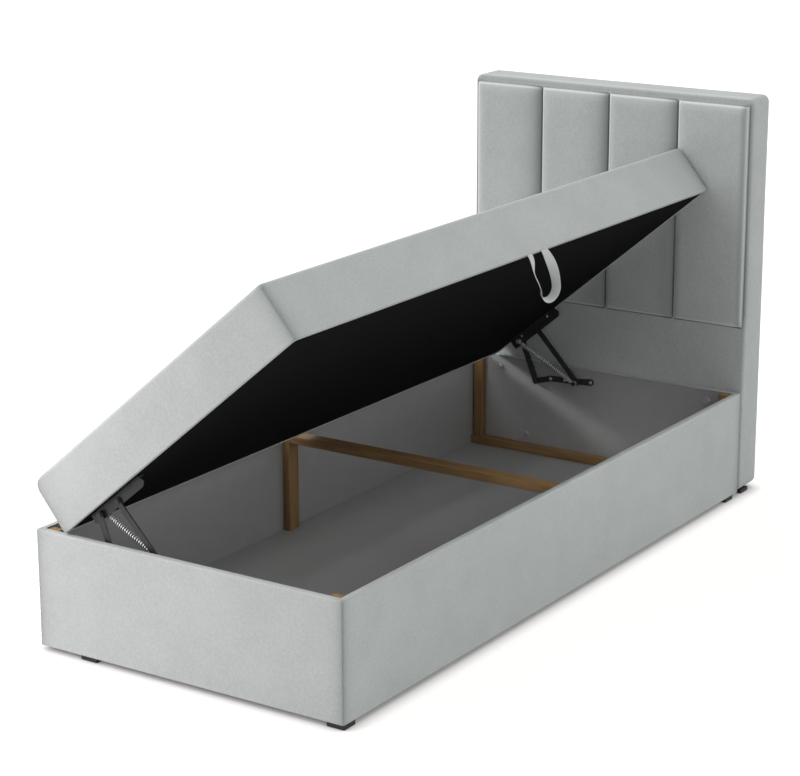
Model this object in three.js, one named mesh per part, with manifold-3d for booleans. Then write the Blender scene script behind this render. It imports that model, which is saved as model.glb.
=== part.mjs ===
// A single bed with a storage box under its mattress. The box spring is the lid of the box:
// it is hinged on the long left side and a sprung four-bar lift at each end holds it open.
// Sizes are millimetres. +Z is up, +Y runs to the headboard, +X is the side that opens.
// The origin is on the floor under the middle of the bed, and the lid stands open on its stop.
import * as THREE from 'three';
import { mergeVertices } from 'three/addons/utils/BufferGeometryUtils.js';
import Module from 'manifold-3d';

const wasm = await Module();
wasm.setup();

// Running and seating gaps
const clearance = 0.3;
const overrun = 4;

// Storage box
const boxLength = 2000;
const boxWidth = 900;
const rimHeight = 310;
const boardThickness = 15;
const floorThickness = 14;
const coverThickness = 2.5;
const coverTopRound = 6;
const coverCornerRound = 5;

// Black pads under the box and the headboard
const footHeight = 12;
const footWidth = 50;
const footDepth = 46;
const footChamfer = 3;
const footEdgeInset = 2;
const hingeFootInset = 126;
const headFootInset = 34;
const headboardFootInset = 16;

// Timber inside the box
const timberEase = 1.5;
const midPostThickness = 22;
const midPostWidth = 44;
const crossbarHeight = 22;
const crossbarDrop = 9;
const battenWidth = 30;
const battenHeight = 24;
const cornerPostWidth = 30;
const cornerPostDepth = 24;
const cornerPostGap = 5;
const cornerPostDrop = 3;

// Headboard
const headboardGap = 4;
const headboardThickness = 108;
const headboardHeight = 1156;
const headboardOverhang = 3;
const headboardSkin = 3;
const headboardBackRound = 8;
const headboardFrontRound = 9;
const headboardCornerRound = 20;
const headboardHem = 34;
const backClothThickness = 1;
const backClothLap = 12;
const frontBoardThickness = 10;
const stileWidth = 42;
const railWidth = 60;
const midRailHeight = 500;

// Upholstered channels on the headboard
const channelCount = 4;
const channelSideMargin = 6;
const channelBottom = 500;
const channelTop = 1136;
const channelProud = 12;
const channelCornerRound = 5;
const channelEdgeInsets = [0, 0, 1.2, 5, 13, 30, 62];
const channelHeightShares = [0, 0.3, 0.5, 0.7, 0.86, 0.96, 1];
const channelDrawIn = 0.8;

// Bolts that join the headboard to the box
const joinBoltRadius = 4;
const joinBoltHeadRadius = 8;
const joinBoltHeadHeight = 3;
const joinWasherRadius = 12;
const joinWasherHeight = 1.5;
const joinUpperInset = 82.2;
const joinUpperDrop = 34;
const joinLowerInset = 179.2;
const joinLowerHeight = 75;

// Box-spring lid, measured in its own frame: u across the bed, n up through the lid
const lidOverhang = 1;
const lidThickness = 149;
const lidSeatGap = 0.4;
const lidHeadClearance = 15;
const lidSideBulge = 1.5;
const lidCrown = 3;
const lidHingeRound = 45;
const lidTopRound = 10;
const lidCornerRound = 8;
const lidBottomRound = 1.2;
const lidBottomInset = 0.6;
const lidSkin = 3;
const hemWidth = 14;
const hemThickness = 1.2;
const lidRailWidth = 34;
const lidEndRailWidth = 62;
const lidRailHeight = 52;
const crossRailCount = 3;
const deckThickness = 9;
const springCoreHeight = 56;

// Where the lid stands when it is open
const openTiltDegrees = 40;
const openShiftAcross = 90.5;
const openShiftUp = 2.3;

// Lift linkage: pivots on the lid in its own frame, and the lengths of the two arms
const rearPivotAcross = 110;
const rearPivotDrop = 16;
const frontPivotAcross = 178;
const frontPivotDrop = 18;
const rearArmLength = 130.5;
const frontArmLength = 200.5;

// Layers of the lift, each measured from the end wall of the box towards the middle
const plateThickness = 4;
const armThickness = 4;
const armGap = 0.7;
const bracketGap = 0.9;
const bracketThickness = 3;
const angleThickness = 2;
const springDistance = 29;

// Lift parts
const rearArmWidth = 17;
const frontArmWidth = 15;
const armEyeRadius = 9.5;
const pivotRadius = 4.6;
const lidPivotRadius = 4;
const pivotHeadRadius = 7.5;
const pivotHeadHeight = 2.6;
const lidPinHeadRadius = 5.5;
const rearCollarRadius = 6.5;
const plateWidth = 17;
const plateBoltShares = [0.35, 0.69];
const plateBoltRises = [7.8, 3.4];
const tabReach = 42;
const tabRise = 3.5;
const tabWidth = 20;
const plateBoltRadius = 3;
const plateBoltHeadRadius = 4.8;
const plateBoltHeadHeight = 2.2;
const plateBoltGrip = 11;
const bracketStart = 78;
const bracketEnd = 277;
const bracketDepth = 28;
const bracketStartRound = 6;
const bracketEndRound = 14;
const angleStart = 96;
const angleEnd = 266;
const angleLegDepth = 11.2;
const angleFlangeWidth = 24;
const rivetPlaces = [123, 236];
const rivetDrop = 7.4;
const rivetRadius = 2.2;
const rivetHeadRadius = 3.6;
const rivetHeadHeight = 1.4;
const angleScrewPlaces = [140, 250];
const angleScrewDistance = 32;
const screwRadius = 2;
const screwHeadRadius = 4.2;
const screwHeadHeight = 2;
const screwReach = 30;

// Tension springs and the eyes screwed into their ends
const springTurns = 32;
const springStepsPerTurn = 8;
const springWireSides = 5;
const springMeanRadius = 5.8;
const springWire = 2.4;
const springBendRadius = 3;
const eyeRadius = 8;
const eyeThickness = 5;
const eyeNeckRadius = 4;
const eyeSeatDistance = 15;
const eyeSeatThickness = 2.5;
const eyePlugLength = 9;
const eyePlugGap = 0.6;
const springStudRadius = 4;
const springCollarRadius = 6;
const springStudHeadRadius = 6.2;
const springStudHeadHeight = 4;

// Pull strap
const strapWidth = 28;
const strapThickness = 1.5;
const strapOutset = 0.4;
const strapDrop = 144;
const strapRootSpread = 35.5;
const strapLoopRadius = 22;
const strapMiddleOffset = 31.5;
const strapLeanPower = 1.5;
const strapLegSteps = 14;
const strapLoopSteps = 8;

// Faceting of round pieces
const pinSides = 12;
const cornerSteps = 3;
const arcSteps = 6;
const bowSteps = 4;
const boltSides = 8;

// Places worked out from the sizes above
const overallLength = boxLength + headboardGap + headboardThickness;
const footFaceY = -overallLength / 2;
const headFaceY = footFaceY + boxLength;
const boxMiddleY = (footFaceY + headFaceY) / 2;
const headboardFrontY = headFaceY + headboardGap;
const headboardBackY = headboardFrontY + headboardThickness;
const headboardHalf = boxWidth / 2 + headboardOverhang;
const boardOuterX = boxWidth / 2 - coverThickness - clearance;
const boardInnerX = boardOuterX - boardThickness;
const boardOuterFootY = footFaceY + coverThickness + clearance;
const boardInnerFootY = boardOuterFootY + boardThickness;
const boardOuterHeadY = headFaceY - coverThickness - clearance;
const boardInnerHeadY = boardOuterHeadY - boardThickness;
const boardTop = rimHeight - coverThickness - clearance;
const floorTop = footHeight + floorThickness;
const lidWidth = boxWidth + 2 * lidOverhang;

// Colours, roughness and metalness
function finish(color, roughness, metalness = 0) {
  return new THREE.MeshStandardMaterial({ color, roughness, metalness });
}

const velvet = finish('#b4b9b7', 0.92);
const blackCloth = finish('#141414', 0.95);
const laminate = finish('#b9b9b8', 0.7);
const pine = finish('#b9874a', 0.62);
const plywood = finish('#c6a674', 0.7);
const blackPlastic = finish('#17181a', 0.5);
const blackSteel = finish('#1c1d1f', 0.42, 0.7);
const zincSteel = finish('#c2c5c8', 0.3, 1);
const springSteel = finish('#d2d4d6', 0.25, 1);
const foam = finish('#e6dfc4', 0.95);
const webbing = finish('#d9dbda', 0.85);

const degrees = THREE.MathUtils.degToRad;

// Only positions, with equal points merged and the slivers that leaves taken out
function clean(geometry) {
  const bare = geometry.clone();
  bare.deleteAttribute('normal');
  bare.deleteAttribute('uv');
  const merged = mergeVertices(bare);
  const source = merged.index.array;
  const kept = [];
  for (let i = 0; i < source.length; i += 3) {
    const [a, b, c] = [source[i], source[i + 1], source[i + 2]];
    if (a !== b && b !== c && a !== c) kept.push(a, b, c);
  }
  merged.setIndex(kept);
  return merged;
}

function toSolid(geometry) {
  const merged = clean(geometry);
  const vertProperties = new Float32Array(merged.attributes.position.array);
  const triVerts = new Uint32Array(merged.index.array);
  return new wasm.Manifold(new wasm.Mesh({ numProp: 3, vertProperties, triVerts }));
}

function toGeometry(solid) {
  const mesh = solid.getMesh();
  const geometry = new THREE.BufferGeometry();
  geometry.setAttribute('position', new THREE.BufferAttribute(mesh.vertProperties, 3));
  geometry.setIndex(new THREE.BufferAttribute(mesh.triVerts, 1));
  return geometry;
}

function cut(base, tools) {
  return toGeometry(tools.reduce((solid, tool) => solid.subtract(toSolid(tool)), toSolid(base)));
}

function fuse(geometries) {
  const [first, ...rest] = geometries.map(toSolid);
  return toGeometry(rest.reduce((solid, other) => solid.add(other), first));
}

function common(first, second) {
  return toGeometry(toSolid(first).intersect(toSolid(second)));
}

function block(x, y, z) {
  const geometry = new THREE.BoxGeometry(x[1] - x[0], y[1] - y[0], z[1] - z[0]);
  return geometry.translate((x[0] + x[1]) / 2, (y[0] + y[1]) / 2, (z[0] + z[1]) / 2);
}

// A flat shape drawn in x and z, given its thickness between two values of y
function plateAcross(shape, from, to) {
  return plateUp(shape, 0, to - from).rotateX(Math.PI / 2).translate(0, to, 0);
}

// A flat shape drawn in x and y, given its thickness between two values of z
function plateUp(shape, from, to) {
  const settings = { depth: to - from, bevelEnabled: false, curveSegments: arcSteps };
  return new THREE.ExtrudeGeometry(shape, settings).translate(0, 0, from);
}

function rectangleShape(x, y) {
  const shape = new THREE.Shape();
  shape.moveTo(x[0], y[0]);
  shape.lineTo(x[1], y[0]);
  shape.lineTo(x[1], y[1]);
  shape.lineTo(x[0], y[1]);
  shape.closePath();
  return shape;
}

function addHole(shape, x, y, radius) {
  const hole = new THREE.Path();
  hole.absarc(x, y, radius, 0, 2 * Math.PI, true);
  shape.holes.push(hole);
}

// Planed timber or a board with its long arrises eased, running along one axis
function timber(x, y, z, along) {
  const [a, b, length] = { x: [y, z, x], y: [x, z, y], z: [x, y, z] }[along];
  const ease = timberEase;
  const shape = new THREE.Shape();
  shape.moveTo(a[0] + ease, b[0]);
  shape.lineTo(a[1] - ease, b[0]);
  shape.lineTo(a[1], b[0] + ease);
  shape.lineTo(a[1], b[1] - ease);
  shape.lineTo(a[1] - ease, b[1]);
  shape.lineTo(a[0] + ease, b[1]);
  shape.lineTo(a[0], b[1] - ease);
  shape.lineTo(a[0], b[0] + ease);
  shape.closePath();
  if (along === 'y') return plateAcross(shape, length[0], length[1]);
  const geometry = plateUp(shape, length[0], length[1]);
  if (along === 'z') return geometry;
  const turn = new THREE.Matrix4().makeBasis(
    new THREE.Vector3(0, 1, 0), new THREE.Vector3(0, 0, 1), new THREE.Vector3(1, 0, 0));
  return geometry.applyMatrix4(turn);
}

// A round piece turned about the y direction; the profile lists radius and distance from the wall
function turned(profile, sides = pinSides) {
  const points = profile.map(([radius, distance]) => new THREE.Vector2(radius, distance));
  return new THREE.LatheGeometry(points, sides);
}

// Points of a rounded rectangle, counter-clockwise, whose sides may bow outwards
function roundedRing(a, b, radius, bow, sideSteps) {
  const corners = [
    [a[1] - radius, b[0] + radius], [a[1] - radius, b[1] - radius],
    [a[0] + radius, b[1] - radius], [a[0] + radius, b[0] + radius]];
  const points = [];
  corners.forEach(([ca, cb], i) => {
    const start = (i - 1) * Math.PI / 2;
    for (let k = 0; k <= cornerSteps; k += 1) {
      const angle = start + (k / cornerSteps) * Math.PI / 2;
      points.push([ca + radius * Math.cos(angle), cb + radius * Math.sin(angle)]);
    }
    const outwards = start + Math.PI / 2;
    const [na, nb] = corners[(i + 1) % corners.length];
    for (let k = 1; k < sideSteps; k += 1) {
      const share = k / sideSteps;
      const out = radius + bow * Math.sin(Math.PI * share);
      points.push([
        ca + (na - ca) * share + out * Math.cos(outwards),
        cb + (nb - cb) * share + out * Math.sin(outwards)]);
    }
  });
  return points;
}

// A closed skin through rings of equal point count, each [points, level], with flat ends
function loft(rings) {
  const count = rings[0][0].length;
  const positions = rings.flatMap(([points, level]) => points.flatMap(([a, b]) => [a, b, level]));
  return skin(positions, rings.length, count);
}

// Closed skin over rings of points. The faces of a side in otherWay are cut along their other
// diagonal, which keeps the two wide sides of a twisted strip apart.
function skin(positions, ringCount, count, otherWay = []) {
  const index = [];
  for (let i = 0; i < ringCount - 1; i += 1) {
    for (let j = 0; j < count; j += 1) {
      const next = (j + 1) % count;
      const [p, q] = [i * count + j, i * count + next];
      const [r, s] = [p + count, q + count];
      index.push(...(otherWay.includes(j) ? [p, q, r, q, s, r] : [p, q, s, p, s, r]));
    }
  }
  const last = (ringCount - 1) * count;
  for (let j = 1; j < count - 1; j += 1) index.push(0, j + 1, j, last, last + j, last + j + 1);
  const geometry = new THREE.BufferGeometry();
  geometry.setAttribute('position', new THREE.Float32BufferAttribute(positions, 3));
  geometry.setIndex(index);
  return geometry;
}

function piece(name, geometry, material) {
  const mesh = new THREE.Mesh(geometry, material);
  mesh.name = name;
  return mesh;
}

function assembly(...pieces) {
  const group = new THREE.Group();
  group.add(...pieces);
  return group;
}

// Geometry of the lift, worked out in x and z

function lidPoint(edge, tilt, u, n) {
  return new THREE.Vector2(
    edge.x + u * Math.cos(tilt) - n * Math.sin(tilt),
    edge.y + u * Math.sin(tilt) + n * Math.cos(tilt));
}

const openTilt = degrees(openTiltDegrees);
const closedEdge = new THREE.Vector2(-lidWidth / 2, rimHeight + lidSeatGap);
const openEdge = new THREE.Vector2(closedEdge.x + openShiftAcross, closedEdge.y + openShiftUp);

// The base pivot of an arm is as far from its lid pivot when the lid is open as when it is shut
function basePivot(u, n, armLength) {
  const open = lidPoint(openEdge, openTilt, u, n);
  const shut = lidPoint(closedEdge, 0, u, n);
  const half = open.clone().sub(shut).multiplyScalar(1 / 2);
  const away = new THREE.Vector2(half.y, -half.x).normalize();
  const reach = Math.sqrt(armLength ** 2 - half.lengthSq());
  return shut.add(half).add(away.multiplyScalar(reach));
}

const rearLidPivot = lidPoint(openEdge, openTilt, rearPivotAcross, -rearPivotDrop);
const frontLidPivot = lidPoint(openEdge, openTilt, frontPivotAcross, -frontPivotDrop);
const rearBasePivot = basePivot(rearPivotAcross, -rearPivotDrop, rearArmLength);
const frontBasePivot = basePivot(frontPivotAcross, -frontPivotDrop, frontArmLength);

// Distances from the end wall of the box
const plateBack = clearance;
const plateFace = plateBack + plateThickness;
const rearArmBack = plateFace + armGap;
const rearArmFace = rearArmBack + armThickness;
const frontArmBack = rearArmFace + bracketGap;
const frontArmFace = frontArmBack + armThickness;
const bracketBack = frontArmFace + bracketGap;
const bracketFace = bracketBack + bracketThickness;
const angleFace = bracketFace + angleThickness;
const springStudBack = angleFace + 2 * clearance;
const eyeBack = springDistance - eyeThickness / 2;
const eyeFace = springDistance + eyeThickness / 2;
const springStudEnd = eyeFace + clearance + springStudHeadHeight;

// The two ends of the bed: a distance from the end wall becomes a place along the bed
const ends = [
  { name: 'foot', place: (distance) => boardInnerFootY + distance, turn: 0 },
  { name: 'head', place: (distance) => boardInnerHeadY - distance, turn: Math.PI }];

function acrossEnd(end, shape, from, to) {
  const [low, high] = [end.place(from), end.place(to)].sort((p, q) => p - q);
  return plateAcross(shape, low, high);
}

function turnedAt(end, profile, point, sides) {
  return turned(profile, sides).rotateX(end.turn).translate(point.x, end.place(0), point.y);
}

// A flat bar with a round eye at each end and a narrower shank between them
function barShape(from, to, width, eye) {
  const along = to.clone().sub(from);
  const angle = Math.atan2(along.y, along.x);
  const neck = Math.asin(width / 2 / eye);
  const shape = new THREE.Shape();
  shape.absarc(from.x, from.y, eye, angle + neck, angle - neck + 2 * Math.PI, false);
  shape.absarc(to.x, to.y, eye, angle + Math.PI + neck, angle + 3 * Math.PI - neck, false);
  shape.closePath();
  return shape;
}

// A strip of even width through points, with mitred bends and round ends of their own radius
function stripShape(points, half, endHalf) {
  const directions = points.slice(1).map((p, i) => p.clone().sub(points[i]).normalize());
  const side = (sign) => points.map((p, i) => {
    const before = directions[Math.max(i - 1, 0)];
    const after = directions[Math.min(i, directions.length - 1)];
    const along = before.clone().add(after).normalize();
    const stretch = 1 / along.dot(after);
    const width = i === points.length - 1 ? endHalf : half;
    return new THREE.Vector2(-along.y, along.x).multiplyScalar(sign * width * stretch).add(p);
  });
  const first = points[0];
  const last = points[points.length - 1];
  const firstAngle = directions[0].angle();
  const lastAngle = directions[directions.length - 1].angle();
  const shape = new THREE.Shape();
  shape.absarc(first.x, first.y, half, firstAngle + Math.PI / 2, firstAngle + 3 * Math.PI / 2, false);
  side(-1).slice(1, -1).forEach((p) => shape.lineTo(p.x, p.y));
  shape.absarc(last.x, last.y, endHalf, lastAngle - Math.PI / 2, lastAngle + Math.PI / 2, false);
  side(1).slice(1, -1).reverse().forEach((p) => shape.lineTo(p.x, p.y));
  shape.closePath();
  return shape;
}

// Storage box

function sidePanel(side) {
  const x = [side * boardInnerX, side * boardOuterX].sort((p, q) => p - q);
  return block(x, [boardOuterFootY, boardOuterHeadY], [footHeight, boardTop]);
}

const joinUpperX = boardInnerX - joinUpperInset;
const joinUpperHeight = rimHeight - joinUpperDrop;
const joinLowerX = boardInnerX - joinLowerInset;
const joinBoltPlaces = [
  [-joinUpperX, joinUpperHeight], [joinUpperX, joinUpperHeight],
  [-joinLowerX, joinLowerHeight], [joinLowerX, joinLowerHeight]];

function plateBoltPoints() {
  const along = frontBasePivot.clone().sub(rearBasePivot);
  const points = plateBoltShares.map((share, i) => {
    const point = rearBasePivot.clone().add(along.clone().multiplyScalar(share));
    return point.add(new THREE.Vector2(0, plateBoltRises[i]));
  });
  const tab = frontBasePivot.clone().add(new THREE.Vector2(tabReach, tabRise));
  return [...points, tab];
}

function endPanel(end) {
  const x = [-boardInnerX + clearance, boardInnerX - clearance];
  const shape = rectangleShape(x, [footHeight, boardTop]);
  plateBoltPoints().forEach((p) => addHole(shape, p.x, p.y, plateBoltRadius + clearance));
  if (end.name === 'head') {
    joinBoltPlaces.forEach(([px, pz]) => addHole(shape, px, pz, joinBoltRadius + clearance));
  }
  return acrossEnd(end, shape, -boardThickness, 0);
}

function joinBoltBores(from, to) {
  return joinBoltPlaces.map(([px, pz]) => {
    const bore = new THREE.CylinderGeometry(
      joinBoltRadius + clearance, joinBoltRadius + clearance, to - from, boltSides);
    return bore.translate(px, (from + to) / 2, pz);
  });
}

// Cloth stretched over the outside of the boards and folded over their top edges
function boxCover() {
  const round = coverTopRound;
  const half = boxWidth / 2;
  const ring = (inset) => roundedRing(
    [-half + inset, half - inset], [footFaceY + inset, headFaceY - inset], coverCornerRound, 0, 1);
  const levels = [[0, footHeight], [0, rimHeight - round]];
  for (let k = 1; k <= cornerSteps; k += 1) {
    const angle = (k / cornerSteps) * Math.PI / 2;
    levels.push([round - round * Math.cos(angle), rimHeight - round + round * Math.sin(angle)]);
  }
  const outside = loft(levels.map(([inset, level]) => [ring(inset), level]));
  const boards = block(
    [-boardOuterX - clearance, boardOuterX + clearance],
    [boardOuterFootY - clearance, boardOuterHeadY + clearance],
    [footHeight - overrun, boardTop + clearance]);
  const inside = block(
    [-boardInnerX, boardInnerX], [boardInnerFootY, boardInnerHeadY], [footHeight, rimHeight + overrun]);
  return cut(outside, [boards, inside, ...joinBoltBores(boardOuterHeadY - overrun, headFaceY + overrun)]);
}

function floorPanel() {
  return block(
    [-boardInnerX + clearance, boardInnerX - clearance],
    [boardInnerFootY + clearance, boardInnerHeadY - clearance],
    [footHeight, floorTop]);
}

const crossbarTop = rimHeight - crossbarDrop;
const crossbarBottom = crossbarTop - crossbarHeight;

function midPost(side) {
  const wall = boardInnerX - clearance;
  const x = [side * wall, side * (wall - midPostThickness)].sort((p, q) => p - q);
  const y = [boxMiddleY - midPostWidth / 2, boxMiddleY + midPostWidth / 2];
  return timber(x, y, [floorTop + clearance, crossbarBottom - clearance], 'z');
}

function crossbar() {
  return timber(
    [-boardInnerX + clearance, boardInnerX - clearance],
    [boxMiddleY - midPostWidth / 2, boxMiddleY + midPostWidth / 2],
    [crossbarBottom, crossbarTop], 'x');
}

const battenTop = floorTop + clearance + battenHeight;

function floorBatten(end) {
  const y = [end.place(clearance), end.place(clearance + battenWidth)].sort((p, q) => p - q);
  const x = [-boardInnerX + clearance, boardInnerX - clearance];
  return timber(x, y, [floorTop + clearance, battenTop], 'x');
}

function cornerPost(end, side) {
  const outer = boardInnerX - cornerPostGap;
  const x = [side * outer, side * (outer - cornerPostWidth)].sort((p, q) => p - q);
  const y = [end.place(clearance), end.place(clearance + cornerPostDepth)].sort((p, q) => p - q);
  return timber(x, y, [battenTop + clearance, rimHeight - cornerPostDrop], 'z');
}

// A moulded pad, a little narrower where it meets the floor
function footPad([left, near]) {
  const shape = (inset) => roundedRing(
    [left + inset, left + footWidth - inset], [near + inset, near + footDepth - inset], footChamfer, 0, 1);
  return loft([[shape(footEdgeInset), 0], [shape(0), footEdgeInset], [shape(0), footHeight - clearance]]);
}

const edgeX = boxWidth / 2;
const footPlaces = {
  foot_end_hinge: [-edgeX + hingeFootInset, footFaceY + footEdgeInset],
  foot_end_open: [edgeX - footWidth, footFaceY + footEdgeInset],
  head_end_hinge: [-edgeX + hingeFootInset, headFaceY - headFootInset - footDepth],
  head_end_open: [edgeX - footWidth, headFaceY - headFootInset - footDepth],
  headboard_hinge: [-edgeX, headboardFrontY + headboardFootInset],
  headboard_open: [edgeX - footWidth, headboardFrontY + headboardFootInset],
};

// Headboard

// The padded outside of the headboard moved inwards, in rings from its back to its front
function headboardForm(inset) {
  const depth = headboardThickness - backClothThickness - clearance;
  const backRound = headboardBackRound - inset;
  const frontRound = Math.max(headboardFrontRound - inset, clearance);
  const rings = [];
  const add = (into, level) => {
    const edge = inset + into;
    const corner = Math.max(headboardCornerRound - inset, frontRound) + into;
    const a = [-headboardHalf + edge, headboardHalf - edge];
    const b = [footHeight + edge, headboardHeight - edge];
    rings.push([roundedRing(a, b, corner, 0, 1), level]);
  };
  for (let k = 0; k <= cornerSteps + 1; k += 1) {
    const angle = (k / (cornerSteps + 1)) * Math.PI / 2;
    add(backRound - backRound * Math.sin(angle), inset + backRound - backRound * Math.cos(angle));
  }
  for (let k = 0; k <= 2; k += 1) {
    const angle = (k / 2) * Math.PI / 2;
    add(frontRound - frontRound * Math.cos(angle), depth - inset - frontRound + frontRound * Math.sin(angle));
  }
  return loft(rings).rotateX(Math.PI / 2).translate(0, headboardBackY - backClothThickness - clearance, 0);
}

function headboardCover() {
  const edge = headboardHalf - headboardHem;
  const opening = block(
    [-edge, edge],
    [headboardBackY - headboardThickness / 2, headboardBackY + overrun],
    [footHeight + headboardHem, headboardHeight - headboardHem]);
  const bores = joinBoltBores(headboardFrontY - overrun, headboardFrontY + headboardSkin + overrun);
  return cut(headboardForm(0), [headboardForm(headboardSkin), opening, ...bores]);
}

function headboardBackCloth() {
  const edge = headboardHalf - headboardHem + backClothLap;
  const bottom = footHeight + headboardHem - backClothLap;
  const top = headboardHeight - headboardHem + backClothLap;
  return block([-edge, edge], [headboardBackY - backClothThickness, headboardBackY], [bottom, top]);
}

const headboardInside = () => headboardForm(headboardSkin + clearance);
const frontBoardY = [
  headboardFrontY + headboardSkin + clearance,
  headboardFrontY + headboardSkin + clearance + frontBoardThickness];
const headboardFrameY = [
  frontBoardY[1] + clearance,
  headboardBackY - backClothThickness - headboardSkin - 2 * clearance];

function headboardFrontBoard() {
  const board = block([-headboardHalf, headboardHalf], frontBoardY, [0, headboardHeight]);
  const bores = joinBoltBores(frontBoardY[0] - overrun, frontBoardY[1] + overrun);
  return cut(common(board, headboardInside()), bores);
}

// Two stiles and three rails of pine, glued into one frame and rounded where the cover turns
function headboardFrame() {
  const outer = headboardHalf;
  const inner = outer - headboardSkin - clearance - stileWidth;
  const railBottoms = [
    footHeight + headboardSkin + clearance,
    midRailHeight - railWidth / 2,
    headboardHeight - headboardSkin - clearance - railWidth];
  const stiles = [[-outer, -inner], [inner, outer]].map(
    (x) => block(x, headboardFrameY, [0, headboardHeight]));
  const reach = [-inner - stileWidth / 2, inner + stileWidth / 2];
  const rails = railBottoms.map((bottom) => block(reach, headboardFrameY, [bottom, bottom + railWidth]));
  return common(fuse([...stiles, ...rails]), headboardInside());
}

// A stuffed channel: tight at its seams, rolled over at its edges and crowned in the middle
function channelPad(number) {
  const areaWidth = boxWidth - 2 * channelSideMargin;
  const pitch = areaWidth / channelCount;
  const left = -areaWidth / 2 + pitch * number + clearance / 2;
  const a = [left, left + pitch - clearance];
  const b = [channelBottom, channelTop];
  const rings = channelEdgeInsets.map((inset, k) => {
    const radius = channelCornerRound + inset / 2;
    const drawn = inset > 0 ? -channelDrawIn * channelHeightShares[k] : 0;
    const ring = roundedRing(
      [a[0] + inset, a[1] - inset], [b[0] + inset, b[1] - inset], radius, drawn, bowSteps);
    return [ring, channelProud * channelHeightShares[k]];
  });
  return loft(rings).rotateX(Math.PI / 2).translate(0, headboardFrontY - clearance, 0);
}

// A bolt with a wide washer, from inside the box through both covers into the front board
function joinBolt([x, z]) {
  const head = boardInnerHeadY - clearance - joinWasherHeight - joinBoltHeadHeight;
  const washer = head + joinBoltHeadHeight;
  const grip = washer + joinWasherHeight;
  const end = frontBoardY[1];
  const bolt = [
    [0, head], [joinBoltHeadRadius, head], [joinBoltHeadRadius, washer], [joinWasherRadius, washer],
    [joinWasherRadius, grip], [joinBoltRadius, grip], [joinBoltRadius, end], [0, end]];
  return turned(bolt, boltSides).translate(x, 0, z);
}

// Lift mechanism

// The plate comes with its three bolts driven through it into the end panel
function basePlate(end) {
  const [first, second, tab] = plateBoltPoints();
  const middles = [rearBasePivot, first, second, frontBasePivot, tab];
  const outline = stripShape(middles, plateWidth / 2, tabWidth / 2);
  [rearBasePivot, frontBasePivot].forEach((p) => addHole(outline, p.x, p.y, pivotRadius + clearance));
  const headTop = plateFace + plateBoltHeadHeight;
  const bolt = [
    [0, -plateBoltGrip], [plateBoltRadius, -plateBoltGrip], [plateBoltRadius, plateBack + plateThickness / 2],
    [plateBoltHeadRadius, plateBack + plateThickness / 2],
    [plateBoltHeadRadius, plateFace + plateBoltHeadHeight / 2], [plateBoltRadius, headTop], [0, headTop]];
  const bolts = plateBoltPoints().map((p) => turnedAt(end, bolt, p, boltSides));
  return fuse([acrossEnd(end, outline, plateBack, plateFace), ...bolts]);
}

function rearBasePin(end) {
  const head = rearArmFace + clearance;
  const profile = [
    [0, plateBack], [pivotRadius, plateBack], [pivotRadius, head],
    [pivotHeadRadius, head], [pivotHeadRadius, head + pivotHeadHeight], [0, head + pivotHeadHeight]];
  return turnedAt(end, profile, rearBasePivot);
}

// This pin runs on past its arm to carry the lower eye of the spring
function frontBasePin(end) {
  const profile = [
    [0, plateBack], [pivotRadius, plateBack], [pivotRadius, plateFace + clearance],
    [pivotHeadRadius, plateFace + clearance], [pivotHeadRadius, frontArmBack - clearance],
    [pivotRadius, frontArmBack - clearance], [pivotRadius, frontArmFace + clearance],
    [springCollarRadius, frontArmFace + clearance], [springCollarRadius, eyeBack - clearance],
    [springStudRadius, eyeBack - clearance], [springStudRadius, eyeFace + clearance],
    [springStudHeadRadius, eyeFace + clearance], [springStudHeadRadius, springStudEnd], [0, springStudEnd]];
  return turnedAt(end, profile, frontBasePivot);
}

function frontArm(end) {
  const outline = barShape(frontBasePivot, frontLidPivot, frontArmWidth, armEyeRadius);
  addHole(outline, frontBasePivot.x, frontBasePivot.y, pivotRadius + clearance);
  addHole(outline, frontLidPivot.x, frontLidPivot.y, lidPivotRadius + clearance);
  return acrossEnd(end, outline, frontArmBack, frontArmFace);
}

// The rear arm ends at the lid in a riveted boss, which is its half of that pivot
function rearArm(end) {
  const outline = barShape(rearBasePivot, rearLidPivot, rearArmWidth, armEyeRadius);
  addHole(outline, rearBasePivot.x, rearBasePivot.y, pivotRadius + clearance);
  const bar = acrossEnd(end, outline, rearArmBack, rearArmFace);
  const bossBack = rearArmBack - pivotHeadHeight;
  const boss = [
    [0, bossBack], [rearCollarRadius, bossBack],
    [rearCollarRadius, rearArmBack + armThickness / 2], [0, rearArmBack + armThickness / 2]];
  return fuse([bar, turnedAt(end, boss, rearLidPivot)]);
}

// Pin through a front arm and its lid bracket, headed on both sides
function frontLidPin(end) {
  const arm = frontArmBack - clearance;
  const inner = bracketFace + clearance;
  const profile = [
    [0, arm - pivotHeadHeight], [rearCollarRadius, arm - pivotHeadHeight], [rearCollarRadius, arm],
    [lidPivotRadius, arm], [lidPivotRadius, inner], [lidPinHeadRadius, inner],
    [lidPinHeadRadius, inner + angleThickness], [0, inner + angleThickness]];
  return turnedAt(end, profile, frontLidPivot);
}

// The spring of one end, from the front base pivot to the rear lid pivot

const springAlong = rearLidPivot.clone().sub(frontBasePivot);
const springAngle = springAlong.angle();

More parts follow.
